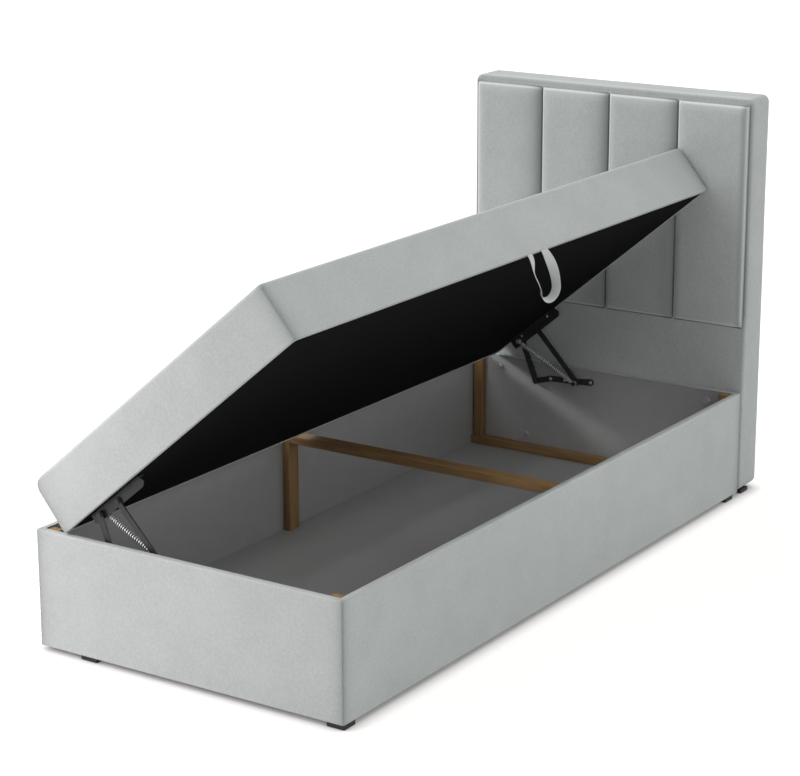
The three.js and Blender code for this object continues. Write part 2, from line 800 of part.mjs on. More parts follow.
// An eye with a neck, a seat for the last turn and a plug inside the spring, drawn along +X
function springEye(holeRadius) {
  const ring = new THREE.Shape();
  ring.absarc(0, 0, eyeRadius, 0, 2 * Math.PI, false);
  addHole(ring, 0, 0, holeRadius);
  const lug = plateAcross(ring, -eyeThickness / 2, eyeThickness / 2);
  const plugRadius = springMeanRadius - springWire / 2 - eyePlugGap;
  const seatRadius = springMeanRadius + springWire / 2;
  const neckStart = (holeRadius + eyeRadius) / 2;
  const seatEnd = eyeSeatDistance;
  const seatStart = seatEnd - eyeSeatThickness;
  const profile = [
    [0, neckStart], [eyeThickness / 2, neckStart], [eyeNeckRadius, eyeRadius], [eyeNeckRadius, seatStart],
    [seatRadius, seatStart], [seatRadius, seatEnd], [plugRadius, seatEnd],
    [plugRadius, seatEnd + eyePlugLength], [0, seatEnd + eyePlugLength]];
  const stem = turned(profile, boltSides).rotateZ(-Math.PI / 2);
  return fuse([lug, stem]);
}

function lowerEye(end) {
  const eye = springEye(springStudRadius + clearance).rotateY(-springAngle);
  return eye.translate(frontBasePivot.x, end.place(springDistance), frontBasePivot.y);
}

// The upper eye holds a stud of its own, which is the spring's half of the rear lid pivot
function upperEye(end) {
  const eye = springEye(springStudRadius / 2).rotateY(-springAngle - Math.PI);
  const profile = [
    [0, springStudBack], [springCollarRadius, springStudBack], [springCollarRadius, eyeBack],
    [springStudRadius, eyeBack], [springStudRadius, eyeFace],
    [springStudHeadRadius, eyeFace], [springStudHeadRadius, springStudEnd], [0, springStudEnd]];
  return fuse([
    eye.translate(rearLidPivot.x, end.place(springDistance), rearLidPivot.y),
    turnedAt(end, profile, rearLidPivot)]);
}

// The wire's centre line on the unrolled cylinder: straight off the seat, a bend, the turns,
// a bend and straight onto the far seat. Each point is [distance round, distance along].
function springPath(length) {
  const lead = springWire;
  const bend = springBendRadius;
  const climbAngle = Math.atan2(length - 2 * (lead + bend), 2 * Math.PI * springMeanRadius * springTurns);
  const bendArc = Math.PI / 2 - climbAngle;
  const path = [[0, 0], [0, lead / 2], [0, lead]];
  const bendSteps = 3;
  for (let k = 1; k <= bendSteps; k += 1) {
    const angle = bendArc * k / bendSteps;
    path.push([bend - bend * Math.cos(angle), lead + bend * Math.sin(angle)]);
  }
  const start = path[path.length - 1];
  const rise = length - 2 * start[1];
  const round = rise / Math.tan(climbAngle);
  const steps = Math.round(springTurns * springStepsPerTurn);
  for (let k = 1; k <= steps; k += 1) path.push([start[0] + round * k / steps, start[1] + rise * k / steps]);
  const far = path.slice(0, 2 + bendSteps).reverse();
  const whole = 2 * start[0] + round;
  far.forEach(([roundwards, along]) => path.push([whole - roundwards, length - along]));
  return path;
}

function springPoint([roundwards, along]) {
  const angle = roundwards / springMeanRadius;
  return new THREE.Vector3(along, springMeanRadius * Math.cos(angle), springMeanRadius * Math.sin(angle));
}

// Least gap between two stretches of wire that lie a half turn or more apart
function leastSpringGap(path) {
  let least = Infinity;
  path.forEach((first, i) => path.slice(i + 1).forEach((second) => {
    const apart = Math.abs(second[0] - first[0]);
    if (apart < Math.PI * springMeanRadius) return;
    least = Math.min(least, springPoint(first).distanceTo(springPoint(second)) - springWire);
  }));
  return least;
}

function coil(length) {
  const path = springPath(length);
  const positions = [];
  const offset = new THREE.Vector3();
  path.forEach((point, i) => {
    const before = springPoint(path[Math.max(i - 1, 0)]);
    const after = springPoint(path[Math.min(i + 1, path.length - 1)]);
    const here = springPoint(point);
    const along = after.sub(before).normalize();
    const outwards = new THREE.Vector3(0, here.y, here.z).normalize();
    outwards.addScaledVector(along, -outwards.dot(along)).normalize();
    const sideways = new THREE.Vector3().crossVectors(along, outwards);
    for (let k = 0; k < springWireSides; k += 1) {
      const angle = (k / springWireSides) * 2 * Math.PI;
      offset.copy(outwards).multiplyScalar(springWire / 2 * Math.cos(angle));
      offset.addScaledVector(sideways, springWire / 2 * Math.sin(angle)).add(here);
      positions.push(offset.x, offset.y, offset.z);
    }
  });
  return skin(positions, path.length, springWireSides);
}

function liftSpring(end) {
  const seat = eyeSeatDistance + clearance;
  const length = springAlong.length() - 2 * seat;
  const start = springAlong.clone().normalize().multiplyScalar(seat).add(frontBasePivot);
  const gap = leastSpringGap(springPath(length));
  console.log(`lift_spring_${end.name}: least gap between turns ${gap.toFixed(2)} mm`);
  return coil(length).rotateY(-springAngle).translate(start.x, end.place(springDistance), start.y);
}

// Lid, drawn shut in its own frame: x is u, z is n, and y runs along the bed

const lidFootY = footFaceY + lidSideBulge;
const lidHeadY = headboardFrontY - lidHeadClearance - lidSideBulge;

// The outside of the lid moved inwards by an inset, from a first level up to its crown
function lidForm(inset, bottom) {
  const top = lidThickness - inset - lidCrown;
  const edgeIn = (round, level) => {
    const radius = round - inset;
    const above = Math.min(Math.max(level - (top - radius), 0), radius);
    return inset + radius - Math.sqrt(radius ** 2 - above ** 2);
  };
  const ring = (level, extra) => {
    const u = [edgeIn(lidHingeRound, level) + extra, lidWidth - edgeIn(lidTopRound, level) - extra];
    const side = edgeIn(lidTopRound, level) + extra;
    const y = [lidFootY + side, lidHeadY - side];
    const bow = lidSideBulge * Math.sin(Math.PI * Math.min(level / lidThickness, 1));
    const bowed = inset === 0 ? bowSteps : 1;
    return roundedRing(u, y, Math.max(lidCornerRound - inset, clearance) + side / 2, bow, bowed);
  };
  const rings = [];
  if (bottom === 0) rings.push([ring(0, lidBottomInset), 0], [ring(lidBottomRound, 0), lidBottomRound]);
  else rings.push([ring(bottom, 0), bottom]);
  const straight = top - lidHingeRound + inset;
  rings.push([ring(straight / 2, 0), straight / 2], [ring(straight, 0), straight]);
  const steps = arcSteps - 1;
  for (let k = 1; k <= steps; k += 1) {
    const level = straight + (lidHingeRound - inset) * Math.sin((k / steps) * Math.PI / 2);
    rings.push([ring(level, 0), level]);
  }
  const inwards = (lidWidth / 2 - lidHingeRound) / 2;
  rings.push([ring(top, inwards), top + lidCrown]);
  return loft(rings);
}

// What lies inside the cover, kept a clearance off its skin all over
function insideLid(geometry) {
  return common(geometry, lidForm(lidSkin + clearance, hemThickness + clearance));
}

function lidLayer(n) {
  return insideLid(block([0, lidWidth], [lidFootY, lidHeadY], n));
}

function lidCover() {
  const cavity = lidForm(lidSkin, hemThickness);
  const opening = block(
    [hemWidth, lidWidth - hemWidth], [lidFootY + hemWidth, lidHeadY - hemWidth],
    [-overrun, hemThickness + overrun]);
  return cut(lidForm(0, 0), [cavity, opening]);
}

const angleScrewPoints = ends.flatMap(
  (end) => angleScrewPlaces.map((u) => [u, end.place(angleScrewDistance)]));

function undersideCloth() {
  const edge = hemWidth + clearance;
  const shape = rectangleShape([edge, lidWidth - edge], [lidFootY + edge, lidHeadY - edge]);
  angleScrewPoints.forEach(([u, y]) => addHole(shape, u, y, screwRadius + clearance));
  return plateUp(shape, 0, hemThickness);
}

const railBottom = hemThickness + clearance;
const railTop = railBottom + lidRailHeight;
const railSide = lidSkin + clearance;

// Side rails, end rails and cross rails of pine, glued into one frame
function lidFrame() {
  const [left, right] = [railSide, lidWidth - railSide];
  const [near, far] = [lidFootY + railSide, lidHeadY - railSide];
  const height = [railBottom, railTop];
  const rails = [
    block([left, left + lidRailWidth], [near, far], height),
    block([right - lidRailWidth, right], [near, far], height),
    block([left, right], [near, near + lidEndRailWidth], height),
    block([left, right], [far - lidEndRailWidth, far], height)];
  for (let k = 1; k <= crossRailCount; k += 1) {
    const middle = near + (far - near) * k / (crossRailCount + 1);
    rails.push(block([left, right], [middle - lidRailWidth / 2, middle + lidRailWidth / 2], height));
  }
  const bores = angleScrewPoints.map(([u, y]) => {
    const bore = new THREE.CylinderGeometry(
      screwRadius + clearance, screwRadius + clearance, screwReach + 2 * clearance, boltSides);
    return bore.rotateX(Math.PI / 2).translate(u, y, screwReach / 2);
  });
  return insideLid(cut(fuse(rails), bores));
}

function lidDeck() {
  const bottom = railTop + clearance;
  return lidLayer([bottom, bottom + deckThickness]);
}

const coreBottom = railTop + clearance + deckThickness + clearance;
const coreTop = coreBottom + springCoreHeight;

// Outline of the bracket plate in u and n
function bracketShape() {
  const shape = new THREE.Shape();
  const top = -clearance;
  const bottom = -bracketDepth;
  const [startRound, endRound] = [bracketStartRound, bracketEndRound];
  shape.moveTo(bracketStart, top);
  shape.lineTo(bracketStart, bottom + startRound);
  shape.absarc(bracketStart + startRound, bottom + startRound, startRound, Math.PI, 3 * Math.PI / 2, false);
  shape.absarc(bracketEnd - endRound, bottom + endRound, endRound, -Math.PI / 2, 0, false);
  shape.lineTo(bracketEnd - startRound, top);
  shape.closePath();
  addHole(shape, frontPivotAcross, -frontPivotDrop, lidPivotRadius + clearance);
  return shape;
}

// Stud of the rear pivot: the half of it that moves with the lid
function rearLidStud(end) {
  const start = rearArmFace + clearance;
  const profile = [
    [0, start], [rearCollarRadius, start], [rearCollarRadius, bracketBack + bracketThickness / 2],
    [lidPivotRadius, bracketBack + bracketThickness / 2], [lidPivotRadius, angleFace], [0, angleFace]];
  return turnedAt(end, profile, new THREE.Vector2(rearPivotAcross, -rearPivotDrop));
}

function bracketRivet(end, u) {
  const middle = bracketFace;
  const back = bracketBack - rivetHeadHeight / 2;
  const front = angleFace + rivetHeadHeight;
  const profile = [
    [0, back], [rivetHeadRadius, back], [rivetHeadRadius, middle],
    [rivetHeadRadius, angleFace], [rivetRadius, front], [0, front]];
  return turnedAt(end, profile, new THREE.Vector2(u, -rivetDrop), boltSides);
}

function bracketScrew([u, y]) {
  const under = -clearance - angleThickness;
  const profile = [
    [0, under - screwHeadHeight], [screwHeadRadius / 2, under - screwHeadHeight], [screwHeadRadius, under],
    [screwHeadRadius, under + angleThickness / 2], [screwRadius, under + angleThickness / 2],
    [screwRadius, screwReach], [0, screwReach]];
  return turned(profile, boltSides).rotateX(Math.PI / 2).translate(u, y, 0);
}

// A bracket plate that both lid pivots go through, with an angle riveted to it whose wide leg
// is screwed up into the lid frame
function lidBracket(end) {
  const plate = acrossEnd(end, bracketShape(), bracketBack, bracketFace);
  const top = -clearance;
  const leg = rectangleShape([angleStart, angleEnd], [-angleLegDepth, top]);
  const y = [end.place(bracketFace), end.place(bracketFace + angleFlangeWidth)].sort((p, q) => p - q);
  const flange = rectangleShape([angleStart, angleEnd], y);
  const screws = angleScrewPoints.filter(([, place]) => place > y[0] && place < y[1]);
  return fuse([
    plate,
    acrossEnd(end, leg, bracketFace - bracketThickness / 2, angleFace),
    plateUp(flange, top - angleThickness, top),
    rearLidStud(end),
    ...rivetPlaces.map((u) => bracketRivet(end, u)),
    ...screws.map(bracketScrew)]);
}

// A flat loop of webbing sewn under the open edge of the lid. Its legs leave the lid square to
// its underside, bend down to hang plumb and turn on themselves to meet edge-on in the loop.
function pullStrap() {
  const middle = boxMiddleY + strapMiddleOffset;
  const legLength = strapDrop - strapLoopRadius;
  const lean = (share) => openTilt * (1 - (1 - share) ** strapLeanPower);
  const downAt = (share) => new THREE.Vector3(-Math.sin(lean(share)), 0, -Math.cos(lean(share)));
  const line = [new THREE.Vector3(0, 0, 0)];
  for (let k = 1; k <= strapLegSteps; k += 1) {
    const share = (k - 1 / 2) / strapLegSteps;
    const step = downAt(share * legLength / strapDrop).multiplyScalar(legLength / strapLegSteps);
    line.push(line[k - 1].clone().add(step));
  }
  const path = [];
  const leg = (k, side) => {
    const share = k / strapLegSteps;
    const soft = share * share * (3 - 2 * share);
    const spread = strapRootSpread + (strapLoopRadius - strapRootSpread) * soft;
    const turn = -soft * Math.PI / 2;
    const point = line[k].clone().add(new THREE.Vector3(0, side * spread, 0));
    path.push({ point, down: downAt(share * legLength / strapDrop), turn });
  };
  for (let k = 0; k < strapLegSteps; k += 1) leg(k, -1);
  for (let k = 0; k <= strapLoopSteps; k += 1) {
    const angle = Math.PI * k / strapLoopSteps;
    const down = downAt(1);
    const point = line[strapLegSteps].clone().addScaledVector(down, strapLoopRadius * Math.sin(angle));
    point.y -= strapLoopRadius * Math.cos(angle);
    path.push({ point, down, turn: -Math.PI / 2 });
  }
  for (let k = strapLegSteps - 1; k >= 0; k -= 1) leg(k, 1);
  const positions = path.flatMap(({ down, point, turn }, i) => {
    const before = path[Math.max(i - 1, 0)].point;
    const after = path[Math.min(i + 1, path.length - 1)].point;
    const along = after.clone().sub(before).normalize();
    if (i === 0) along.copy(down);
    if (i === path.length - 1) along.copy(down).negate();
    const facing = new THREE.Vector3(0, 1, 0).cross(down).normalize();
    const inPlane = new THREE.Vector3().crossVectors(facing, along).normalize();
    const wide = inPlane.multiplyScalar(Math.cos(turn)).addScaledVector(facing, Math.sin(turn)).normalize();
    const thick = new THREE.Vector3().crossVectors(along, wide).normalize();
    return [[-1, -1], [1, -1], [1, 1], [-1, 1]].flatMap(([w, t]) => {
      const corner = point.clone().addScaledVector(wide, w * strapWidth / 2);
      return corner.addScaledVector(thick, t * strapThickness / 2).toArray();
    });
  });
  return skin(positions, path.length, 4, [2]).translate(lidWidth + strapOutset, middle, -clearance);
}

// The whole bed

const storageBox = assembly(
  piece('side_panel_hinge', sidePanel(-1), laminate),
  piece('side_panel_open', sidePanel(1), laminate),
  ...ends.map((end) => piece(`${end.name}_panel`, endPanel(end), laminate)),
  piece('box_cover', boxCover(), velvet),
  piece('floor_panel', floorPanel(), laminate),
  piece('mid_post_hinge', midPost(-1), pine),
  piece('mid_post_open', midPost(1), pine),
  piece('crossbar', crossbar(), pine),
  ...ends.map((end) => piece(`floor_batten_${end.name}`, floorBatten(end), pine)),
  ...ends.map((end) => piece(`corner_post_${end.name}_hinge`, cornerPost(end, -1), pine)),
  ...ends.map((end) => piece(`corner_post_${end.name}_open`, cornerPost(end, 1), pine)),
  ...Object.entries(footPlaces).map(
    ([name, place]) => piece(`foot_pad_${name}`, footPad(place), blackPlastic)));

const headboard = assembly(
  piece('headboard_cover', headboardCover(), velvet),
  piece('headboard_back_cloth', headboardBackCloth(), blackCloth),
  piece('headboard_front_board', headboardFrontBoard(), plywood),
  piece('headboard_frame', headboardFrame(), pine),
  ...Array.from({ length: channelCount }, (_, k) => piece(`channel_pad_${k + 1}`, channelPad(k), velvet)),
  ...joinBoltPlaces.map((place, k) => piece(`joining_bolt_${k + 1}`, joinBolt(place), zincSteel)));

const lift = assembly(...ends.flatMap((end) => [
  piece(`base_plate_${end.name}`, basePlate(end), blackSteel),
  piece(`front_base_pin_${end.name}`, frontBasePin(end), blackSteel),
  piece(`rear_base_pin_${end.name}`, rearBasePin(end), blackSteel),
  piece(`front_arm_${end.name}`, frontArm(end), blackSteel),
  piece(`front_lid_pin_${end.name}`, frontLidPin(end), blackSteel),
  piece(`rear_arm_${end.name}`, rearArm(end), blackSteel),
  piece(`lift_spring_${end.name}`, liftSpring(end), springSteel),
  piece(`spring_eye_lower_${end.name}`, lowerEye(end), zincSteel),
  piece(`spring_eye_upper_${end.name}`, upperEye(end), zincSteel)]));

const lid = assembly(
  ...ends.map((end) => piece(`lid_bracket_${end.name}`, lidBracket(end), blackSteel)),
  piece('lid_frame', lidFrame(), pine),
  piece('lid_deck', lidDeck(), plywood),
  piece('spring_core', lidLayer([coreBottom, coreTop]), springSteel),
  piece('foam_layer', lidLayer([coreTop + clearance, lidThickness]), foam),
  piece('lid_cover', lidCover(), velvet),
  piece('underside_cloth', undersideCloth(), blackCloth),
  piece('pull_strap', pullStrap(), webbing));
lid.position.set(openEdge.x, 0, openEdge.y);
lid.rotation.y = -openTilt;

const bed = new THREE.Group();
bed.add(storageBox, headboard, lift, lid);
bed.traverse((item) => {
  if (item.isMesh) item.geometry.computeVertexNormals();
});

export default bed;
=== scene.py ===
"""Looks of a single storage bed that stands open: velvet, boards, timber, steel and soft light.

Lengths are metres in the model's own frame: +X is the side that opens, +Y runs to the
headboard and +Z is up. The lid is drawn in a frame of its own: u across, y along, n up.
"""

import math

import bmesh
import bpy
import numpy as np
from mathutils import Matrix, Vector


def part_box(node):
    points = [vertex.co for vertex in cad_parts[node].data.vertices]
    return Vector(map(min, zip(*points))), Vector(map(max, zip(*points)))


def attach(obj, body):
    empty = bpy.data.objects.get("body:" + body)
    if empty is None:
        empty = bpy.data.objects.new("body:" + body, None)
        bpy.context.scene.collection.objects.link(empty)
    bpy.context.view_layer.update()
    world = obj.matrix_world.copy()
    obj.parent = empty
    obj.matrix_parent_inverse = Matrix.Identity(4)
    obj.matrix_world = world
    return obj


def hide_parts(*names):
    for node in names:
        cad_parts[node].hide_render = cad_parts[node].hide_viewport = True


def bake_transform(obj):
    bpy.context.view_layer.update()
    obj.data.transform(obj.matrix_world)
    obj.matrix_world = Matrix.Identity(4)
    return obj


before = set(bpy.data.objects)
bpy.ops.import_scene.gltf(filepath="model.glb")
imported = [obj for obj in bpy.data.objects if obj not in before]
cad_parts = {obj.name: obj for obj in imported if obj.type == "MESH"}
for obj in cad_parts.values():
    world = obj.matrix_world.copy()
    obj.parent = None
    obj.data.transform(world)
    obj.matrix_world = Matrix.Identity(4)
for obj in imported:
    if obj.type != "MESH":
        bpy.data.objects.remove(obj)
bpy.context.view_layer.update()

MM = 0.001

# Where the open lid stands: its tilt and its lower edge on the hinge side, x and z
LID_TILT = math.radians(40)
LID_EDGE = (-360.5 * MM, 312.7 * MM)
LID_WIDTH = 902 * MM

# Lid cover: the height of its side, its crown, its rounds, how far its sides bulge and its cloth is
# uneven, how far it stays inside its solid at the ends, and its hem
LID_TOP = 147 * MM
LID_CROWN = 4 * MM
LID_CROWN_POWER = 2.4
LID_HINGE_ROUND = 31 * MM
LID_TOP_ROUND = 10 * MM
LID_BOTTOM_ROUND = 1.6 * MM
LID_CORNER = 7 * MM
LID_BULGE = 2.5 * MM
LID_SLACK = 1.2 * MM
LID_END_GAP = 1.5 * MM
HEM_WIDTH = 14 * MM

# Box cover: its rounds, its corner, how far it turns in over the rim and under the bottom, the
# small bend at the inner edge of the rim, and how far its cloth is uneven
BOX_TOP_ROUND = 5 * MM
BOX_CORNER = 5 * MM
BOX_RIM = 17.6 * MM
BOX_UNDER = 1.8 * MM
BOX_INNER_ROUND = 0.8 * MM
BOX_SLACK = 0.6 * MM

# Thickness of the velvet and the two black cloths, the points round each corner of a cover, and how
# near its last row comes to the middle of a face
CLOTH = 2.2 * MM
UNDERSIDE_CLOTH = 0.5 * MM
BACK_CLOTH = 0.7 * MM
CORNER_STEPS = 12
MIDDLE_GAP = 4 * MM

# Headboard: its rounds, its corner, its hem and how far its cloth is uneven
HEAD_BACK_ROUND = 9 * MM
HEAD_FRONT_ROUND = 8 * MM
HEAD_CORNER = 20 * MM
HEAD_HEM = 34 * MM
HEAD_SLACK = 0.8 * MM

# Channels: how far in from their edges and how steeply they rise, how far they reach into the
# headboard, the seam strip below them, their corners, how far their sides are drawn in, how the
# points crowd to their edges, and their puckers
PAD_REACH = 30 * MM
PAD_POWER = 2.0
PAD_SINK = 6 * MM
PAD_STRIP = 2.6 * MM
PAD_CORNER = 8 * MM
PAD_DRAW_IN = 1.0 * MM
PAD_CROWD_POWER = 2.1
PAD_PUCKER_HEIGHT = 0.22 * MM
PAD_PUCKER_PITCH = 27 * MM
PAD_PUCKER_REACH = 13 * MM

# Upright corner seams: their groove, the puckers beside it, and how dark and how wide the painted
# shade beside it is, which stands in for the shade of the rounded corner turning from the light
SEAM_DEPTH = 1.4 * MM
SEAM_WIDTH = 1.9 * MM
PUCKER_HEIGHT = 0.5 * MM
PUCKER_REACH = 10 * MM
PUCKER_PITCH = 14 * MM
SEAM_SHADE = 0.55
SEAM_SHADE_REACH = 14 * MM

# Springs: their end pivots in x and z, the distance of their axis from the end walls, how far from
# each pivot the coil starts, and the coil. The real springs have about 36 turns: 29 are drawn, so
# that single turns still show. The painted shade is how dark the wire is painted round its section,
# from outside: dark on the side that faces the axis, where the coil shades itself.
SPRING_LOWER = (-73.93 * MM, 268.49 * MM)
SPRING_UPPER = (-265.95 * MM, 371.15 * MM)
SPRING_DISTANCE = 29 * MM
SPRING_SEAT = 15.2 * MM
SPRING_TURNS = 29
SPRING_TURN_STEPS = 22
SPRING_EASE = 0.012
SPRING_RADIUS = 5.6 * MM
SPRING_WIRE = 3.2 * MM
SPRING_PAINTED_SHADE = (0, 0, 0, 1, 1, 1, 0, 0)

# Heads of the lift's bolts and rivets in x and z, their seats' distances from the end walls, and
# their profiles: radius and height in millimetres
BOLT_HEADS = ((-167.85 * MM, 264.02 * MM), (-118.72 * MM, 266.04 * MM), (-31.93 * MM, 271.99 * MM))
BOLT_SEAT = 4.3 * MM
BOLT_PROFILE = ((0, 2.5), (2.2, 2.45), (3.7, 2.2), (4.7, 1.4), (5, 0.3), (5, 0), (0, 0))
RIVET_HEADS = ((-261.5 * MM, 386.1 * MM), (-174.9 * MM, 458.7 * MM))
RIVET_SEAT = 19.8 * MM
RIVET_PROFILE = ((0, 1.7), (1.6, 1.6), (2.9, 1.2), (3.8, 0.4), (3.9, 0), (0, 0))

# Pull strap: its section, how far it hangs, half the distance of its sewn ends, the half width and
# depth of the loop it hangs to, and how far it sways and its left leg bows
STRAP_WIDTH = 25 * MM
STRAP_THICKNESS = 1.6 * MM
STRAP_DROP = 128 * MM
STRAP_SPREAD = 35.5 * MM
STRAP_LOOP = 38 * MM
STRAP_DEPTH = 27 * MM
STRAP_SWAY = 5 * MM
STRAP_BOW = 16 * MM

# Where the strap is sewn on: its middle in y, how far outside and below the lid's edge it starts,
# how soon it hangs plumb, and how far it has turned on itself at each share of its length
STRAP_MIDDLE = -24.5 * MM
STRAP_OUTSET = 0.4 * MM
STRAP_ROOT_GAP = 0.3 * MM
STRAP_LEAN = 1.5
STRAP_TURN_SHARES = (0, 0.05, 0.18, 0.42, 0.52, 0.62, 0.8, 0.95, 1)
STRAP_TURNS = tuple(math.radians(-angle) for angle in (0, 8, 32, 40, 84, 90, 66, 20, 0))

# World and sun: the world's least and greatest radiance, the side of the greatest, and the sun
WORLD_LEVELS = (0.54, 1.00)
WORLD_BRIGHT_SIDE = (0.5, 0.87, 0)
SUN_STRENGTH = 1.2
SUN_ANGLE = math.radians(30)
SUN_SIDE = (-0.80, -0.12, 0.59)

# Lamps: name, colour, watts, size in metres, beam in degrees, place and target
LAMPS = (
    ("foot_key", (1, 0.9, 0.94), 7.0, 1.2, 60, (-1.3, -3.2, 2.2), (-0.7, -1.0, 0.4)),
    ("slot_lamp", (1, 1, 1), 0.31, 0.3, 16, (-1.82, 0.40, 1.005), (-0.15, 0.90, 0.212)),
    ("box_fill", (1, 1, 1), 0.09, 0.25, 9, (1.3, -3.0, 1.4), (0.12, 0.93, 0.11)))

# Floor: its reach, its colour, the share of it that glows for the camera, that glow in the open and
# right beside the bed, where its drop paints a contact shadow, the openness below which it is least,
# and how near to the bed it drops
FLOOR_REACH = 60
FLOOR_COLOUR = (0.85, 0.85, 0.85, 1)
GLOW_COLOUR = (1, 0.98, 0.95, 1)
FLOOR_MIX = 0.3
FLOOR_GLOW = 0.64
CONTACT_GLOW = 0.14
CONTACT_OPENNESS = 0.45
CONTACT_REACH = 0.045

# Camera, solved from the straight edges of the bed
CAMERA_PLACE = (3.3424, -5.1761, 2.2283)
CAMERA_AZIMUTH = math.radians(33.61)
CAMERA_DIP = math.radians(15.84)
CAMERA_ROLL = math.radians(-0.16)
CAMERA_LENS_MM = 109.37
CAMERA_CLIP_END = 200
SENSOR_MM = 36


# Surfaces

def surface_faces(rows, columns, closed):
    """Quads of a grid of points in row order; closed joins the last column to the first."""
    last = columns if closed else columns - 1
    row, column = np.meshgrid(np.arange(rows - 1), np.arange(last), indexing="ij")
    after = (column + 1) % columns
    corners = [row * columns + column, row * columns + after,
               (row + 1) * columns + after, (row + 1) * columns + column]
    return np.stack(corners, axis=-1).reshape(-1, 4)


def make_mesh(name, points, faces, material, uv=None):
    """An object at the origin from points (n, 3) and faces; uv gives each point its (u, v)."""
    mesh = bpy.data.meshes.new(name)
    mesh.from_pydata(np.asarray(points).reshape(-1, 3).tolist(), [], [list(map(int, f)) for f in faces])
    if uv is not None:
        layer = mesh.uv_layers.new(name="weave")
        corner_points = np.empty(len(mesh.loops), np.int32)
        mesh.loops.foreach_get("vertex_index", corner_points)
        layer.data.foreach_set("uv", np.asarray(uv)[corner_points].astype(np.float32).ravel())
    mesh.polygons.foreach_set("use_smooth", np.ones(len(mesh.polygons), bool))
    mesh.materials.append(material)
    piece = bpy.data.objects.new(name, mesh)
    bpy.context.scene.collection.objects.link(piece)
    return piece


def close_and_face_out(piece, sharp_degrees=None):
    """Merges points that coincide, points all faces outwards and marks the sharp edges."""
    work = bmesh.new()
    work.from_mesh(piece.data)
    bmesh.ops.remove_doubles(work, verts=work.verts, dist=0.002 * MM)
    bmesh.ops.recalc_face_normals(work, faces=work.faces)
    if not any(edge.is_boundary for edge in work.edges) and work.calc_volume(signed=True) < 0:
        bmesh.ops.reverse_faces(work, faces=work.faces)
    work.to_mesh(piece.data)
    work.free()
    if sharp_degrees is not None:
        piece.data.set_sharp_from_angle(angle=math.radians(sharp_degrees))
    return piece


def thicken(piece, thickness):
    """Gives an open skin its wall, inwards from its outer face."""
    wall = piece.modifiers.new("wall", "SOLIDIFY")
    wall.thickness = thickness
    wall.offset = -1
    wall.use_even_offset = True
    return piece


def share_grid(rows, columns):
    """Shares from 0 to 1 over a grid: the first grows by row and the second by column."""
    return np.meshgrid(np.linspace(0, 1, rows), np.linspace(0, 1, columns), indexing="ij")


def capped_faces(rows, columns, both_ends=False):
    """Quads of a closed grid with one face over its last row and, if asked, one over its first."""
    faces = surface_faces(rows, columns, True).tolist()
    if both_ends:
        faces.append(list(range(columns)))
    faces.append(list(range((rows - 1) * columns, rows * columns)))
    return faces


def unit(vectors):
    """Rows of vectors brought to length 1."""
    return vectors / np.linalg.norm(vectors, axis=1)[:, None]


def bell(distance, reach):
    """1 at no distance and next to nothing at twice the reach: exp(-(d / r)^2)."""
    return np.exp(-(distance / reach) ** 2)


def fade(distance, reach):
    """1 at no distance and less at every step away: exp(-d / r)."""
    return np.exp(-distance / reach)


def ramp(distance, reach):
    """0 up to no distance, 1 from the reach on, and straight between them."""
    return np.clip(distance / reach, 0, 1)


def loop_columns(side_steps):
    """Columns of a loop round a rectangle: outward angle, mix of corner signs, share along a side."""
    signs = np.array([[1, -1], [1, 1], [-1, 1], [-1, -1]], float)
    angles, mixes, shares = [], [], []
    for k in range(4):
        turn = np.linspace(-0.5, 0, CORNER_STEPS + 1) + 0.5 * k
        angles.append(turn * math.pi)
        mixes.append(np.repeat(signs[k:k + 1], CORNER_STEPS + 1, axis=0))
        shares.append(np.zeros(CORNER_STEPS + 1))
        steps = side_steps[k % 2]
        along = (1 - np.cos(math.pi * np.arange(1, steps) / steps)) / 2
        angles.append(np.full(steps - 1, 0.5 * k * math.pi))
        mixes.append(signs[k] + (signs[(k + 1) % 4] - signs[k]) * along[:, None])
        shares.append(along)
    return np.concatenate(angles), np.concatenate(mixes), np.concatenate(shares)


def rounded_loops(columns, half, inset, radius, bow):
    """Loops moved inwards by inset. A point is mix * (half - inset - radius) and from there outwards by
    radius + bow * sin(pi t), where t is its share along a side."""
    angle, mix, share = columns
    reach = radius + bow * np.sin(math.pi * share)
    a = mix[:, 0] * (half[0] - inset - radius) + reach * np.cos(angle)
    b = mix[:, 1] * (half[1] - inset - radius) + reach * np.sin(angle)
    return a, b


def from_seam(a, b, half, corner):
    """Distance in plan from the middle of the nearest rounded corner, where an upright seam runs."""
    middle = (1 - math.sqrt(0.5)) * corner
    return np.hypot(np.abs(a) - (half[0] - middle), np.abs(b) - (half[1] - middle))


def seam_relief(a, b, level, half, corner):
    """Relief of the upright corner seams: a groove, bell(d), and puckers, sin(2 pi level / pitch) fade(d),
    whose height varies slowly; d is the distance from the seam."""
    distance = from_seam(a, b, half, corner)
    groove = -SEAM_DEPTH * bell(distance, SEAM_WIDTH)
    wave = np.sin(2 * math.pi * level / PUCKER_PITCH + 3 * np.sign(a) + 5 * np.sign(b))
    slow = np.sin(2 * math.pi * level / (5.3 * PUCKER_PITCH) + np.sign(a))
    return groove + PUCKER_HEIGHT * wave * (0.6 + 0.4 * slow) * fade(distance, PUCKER_REACH)


def seam_shade(a, b, half, corner):
    """Painted shade beside an upright corner seam, for the shade of the rounded corner: s fade(d)."""
    return SEAM_SHADE * fade(from_seam(a, b, half, corner), SEAM_SHADE_REACH)


def shade_uv(shade, lift=0.0):
    """Carries a piece's painted shade and painted highlight to its material in its map's two coordinates."""
    flat = np.asarray(shade, float).reshape(-1)
    return np.stack([flat, np.asarray(lift, float).reshape(-1) + 0 * flat], axis=-1)


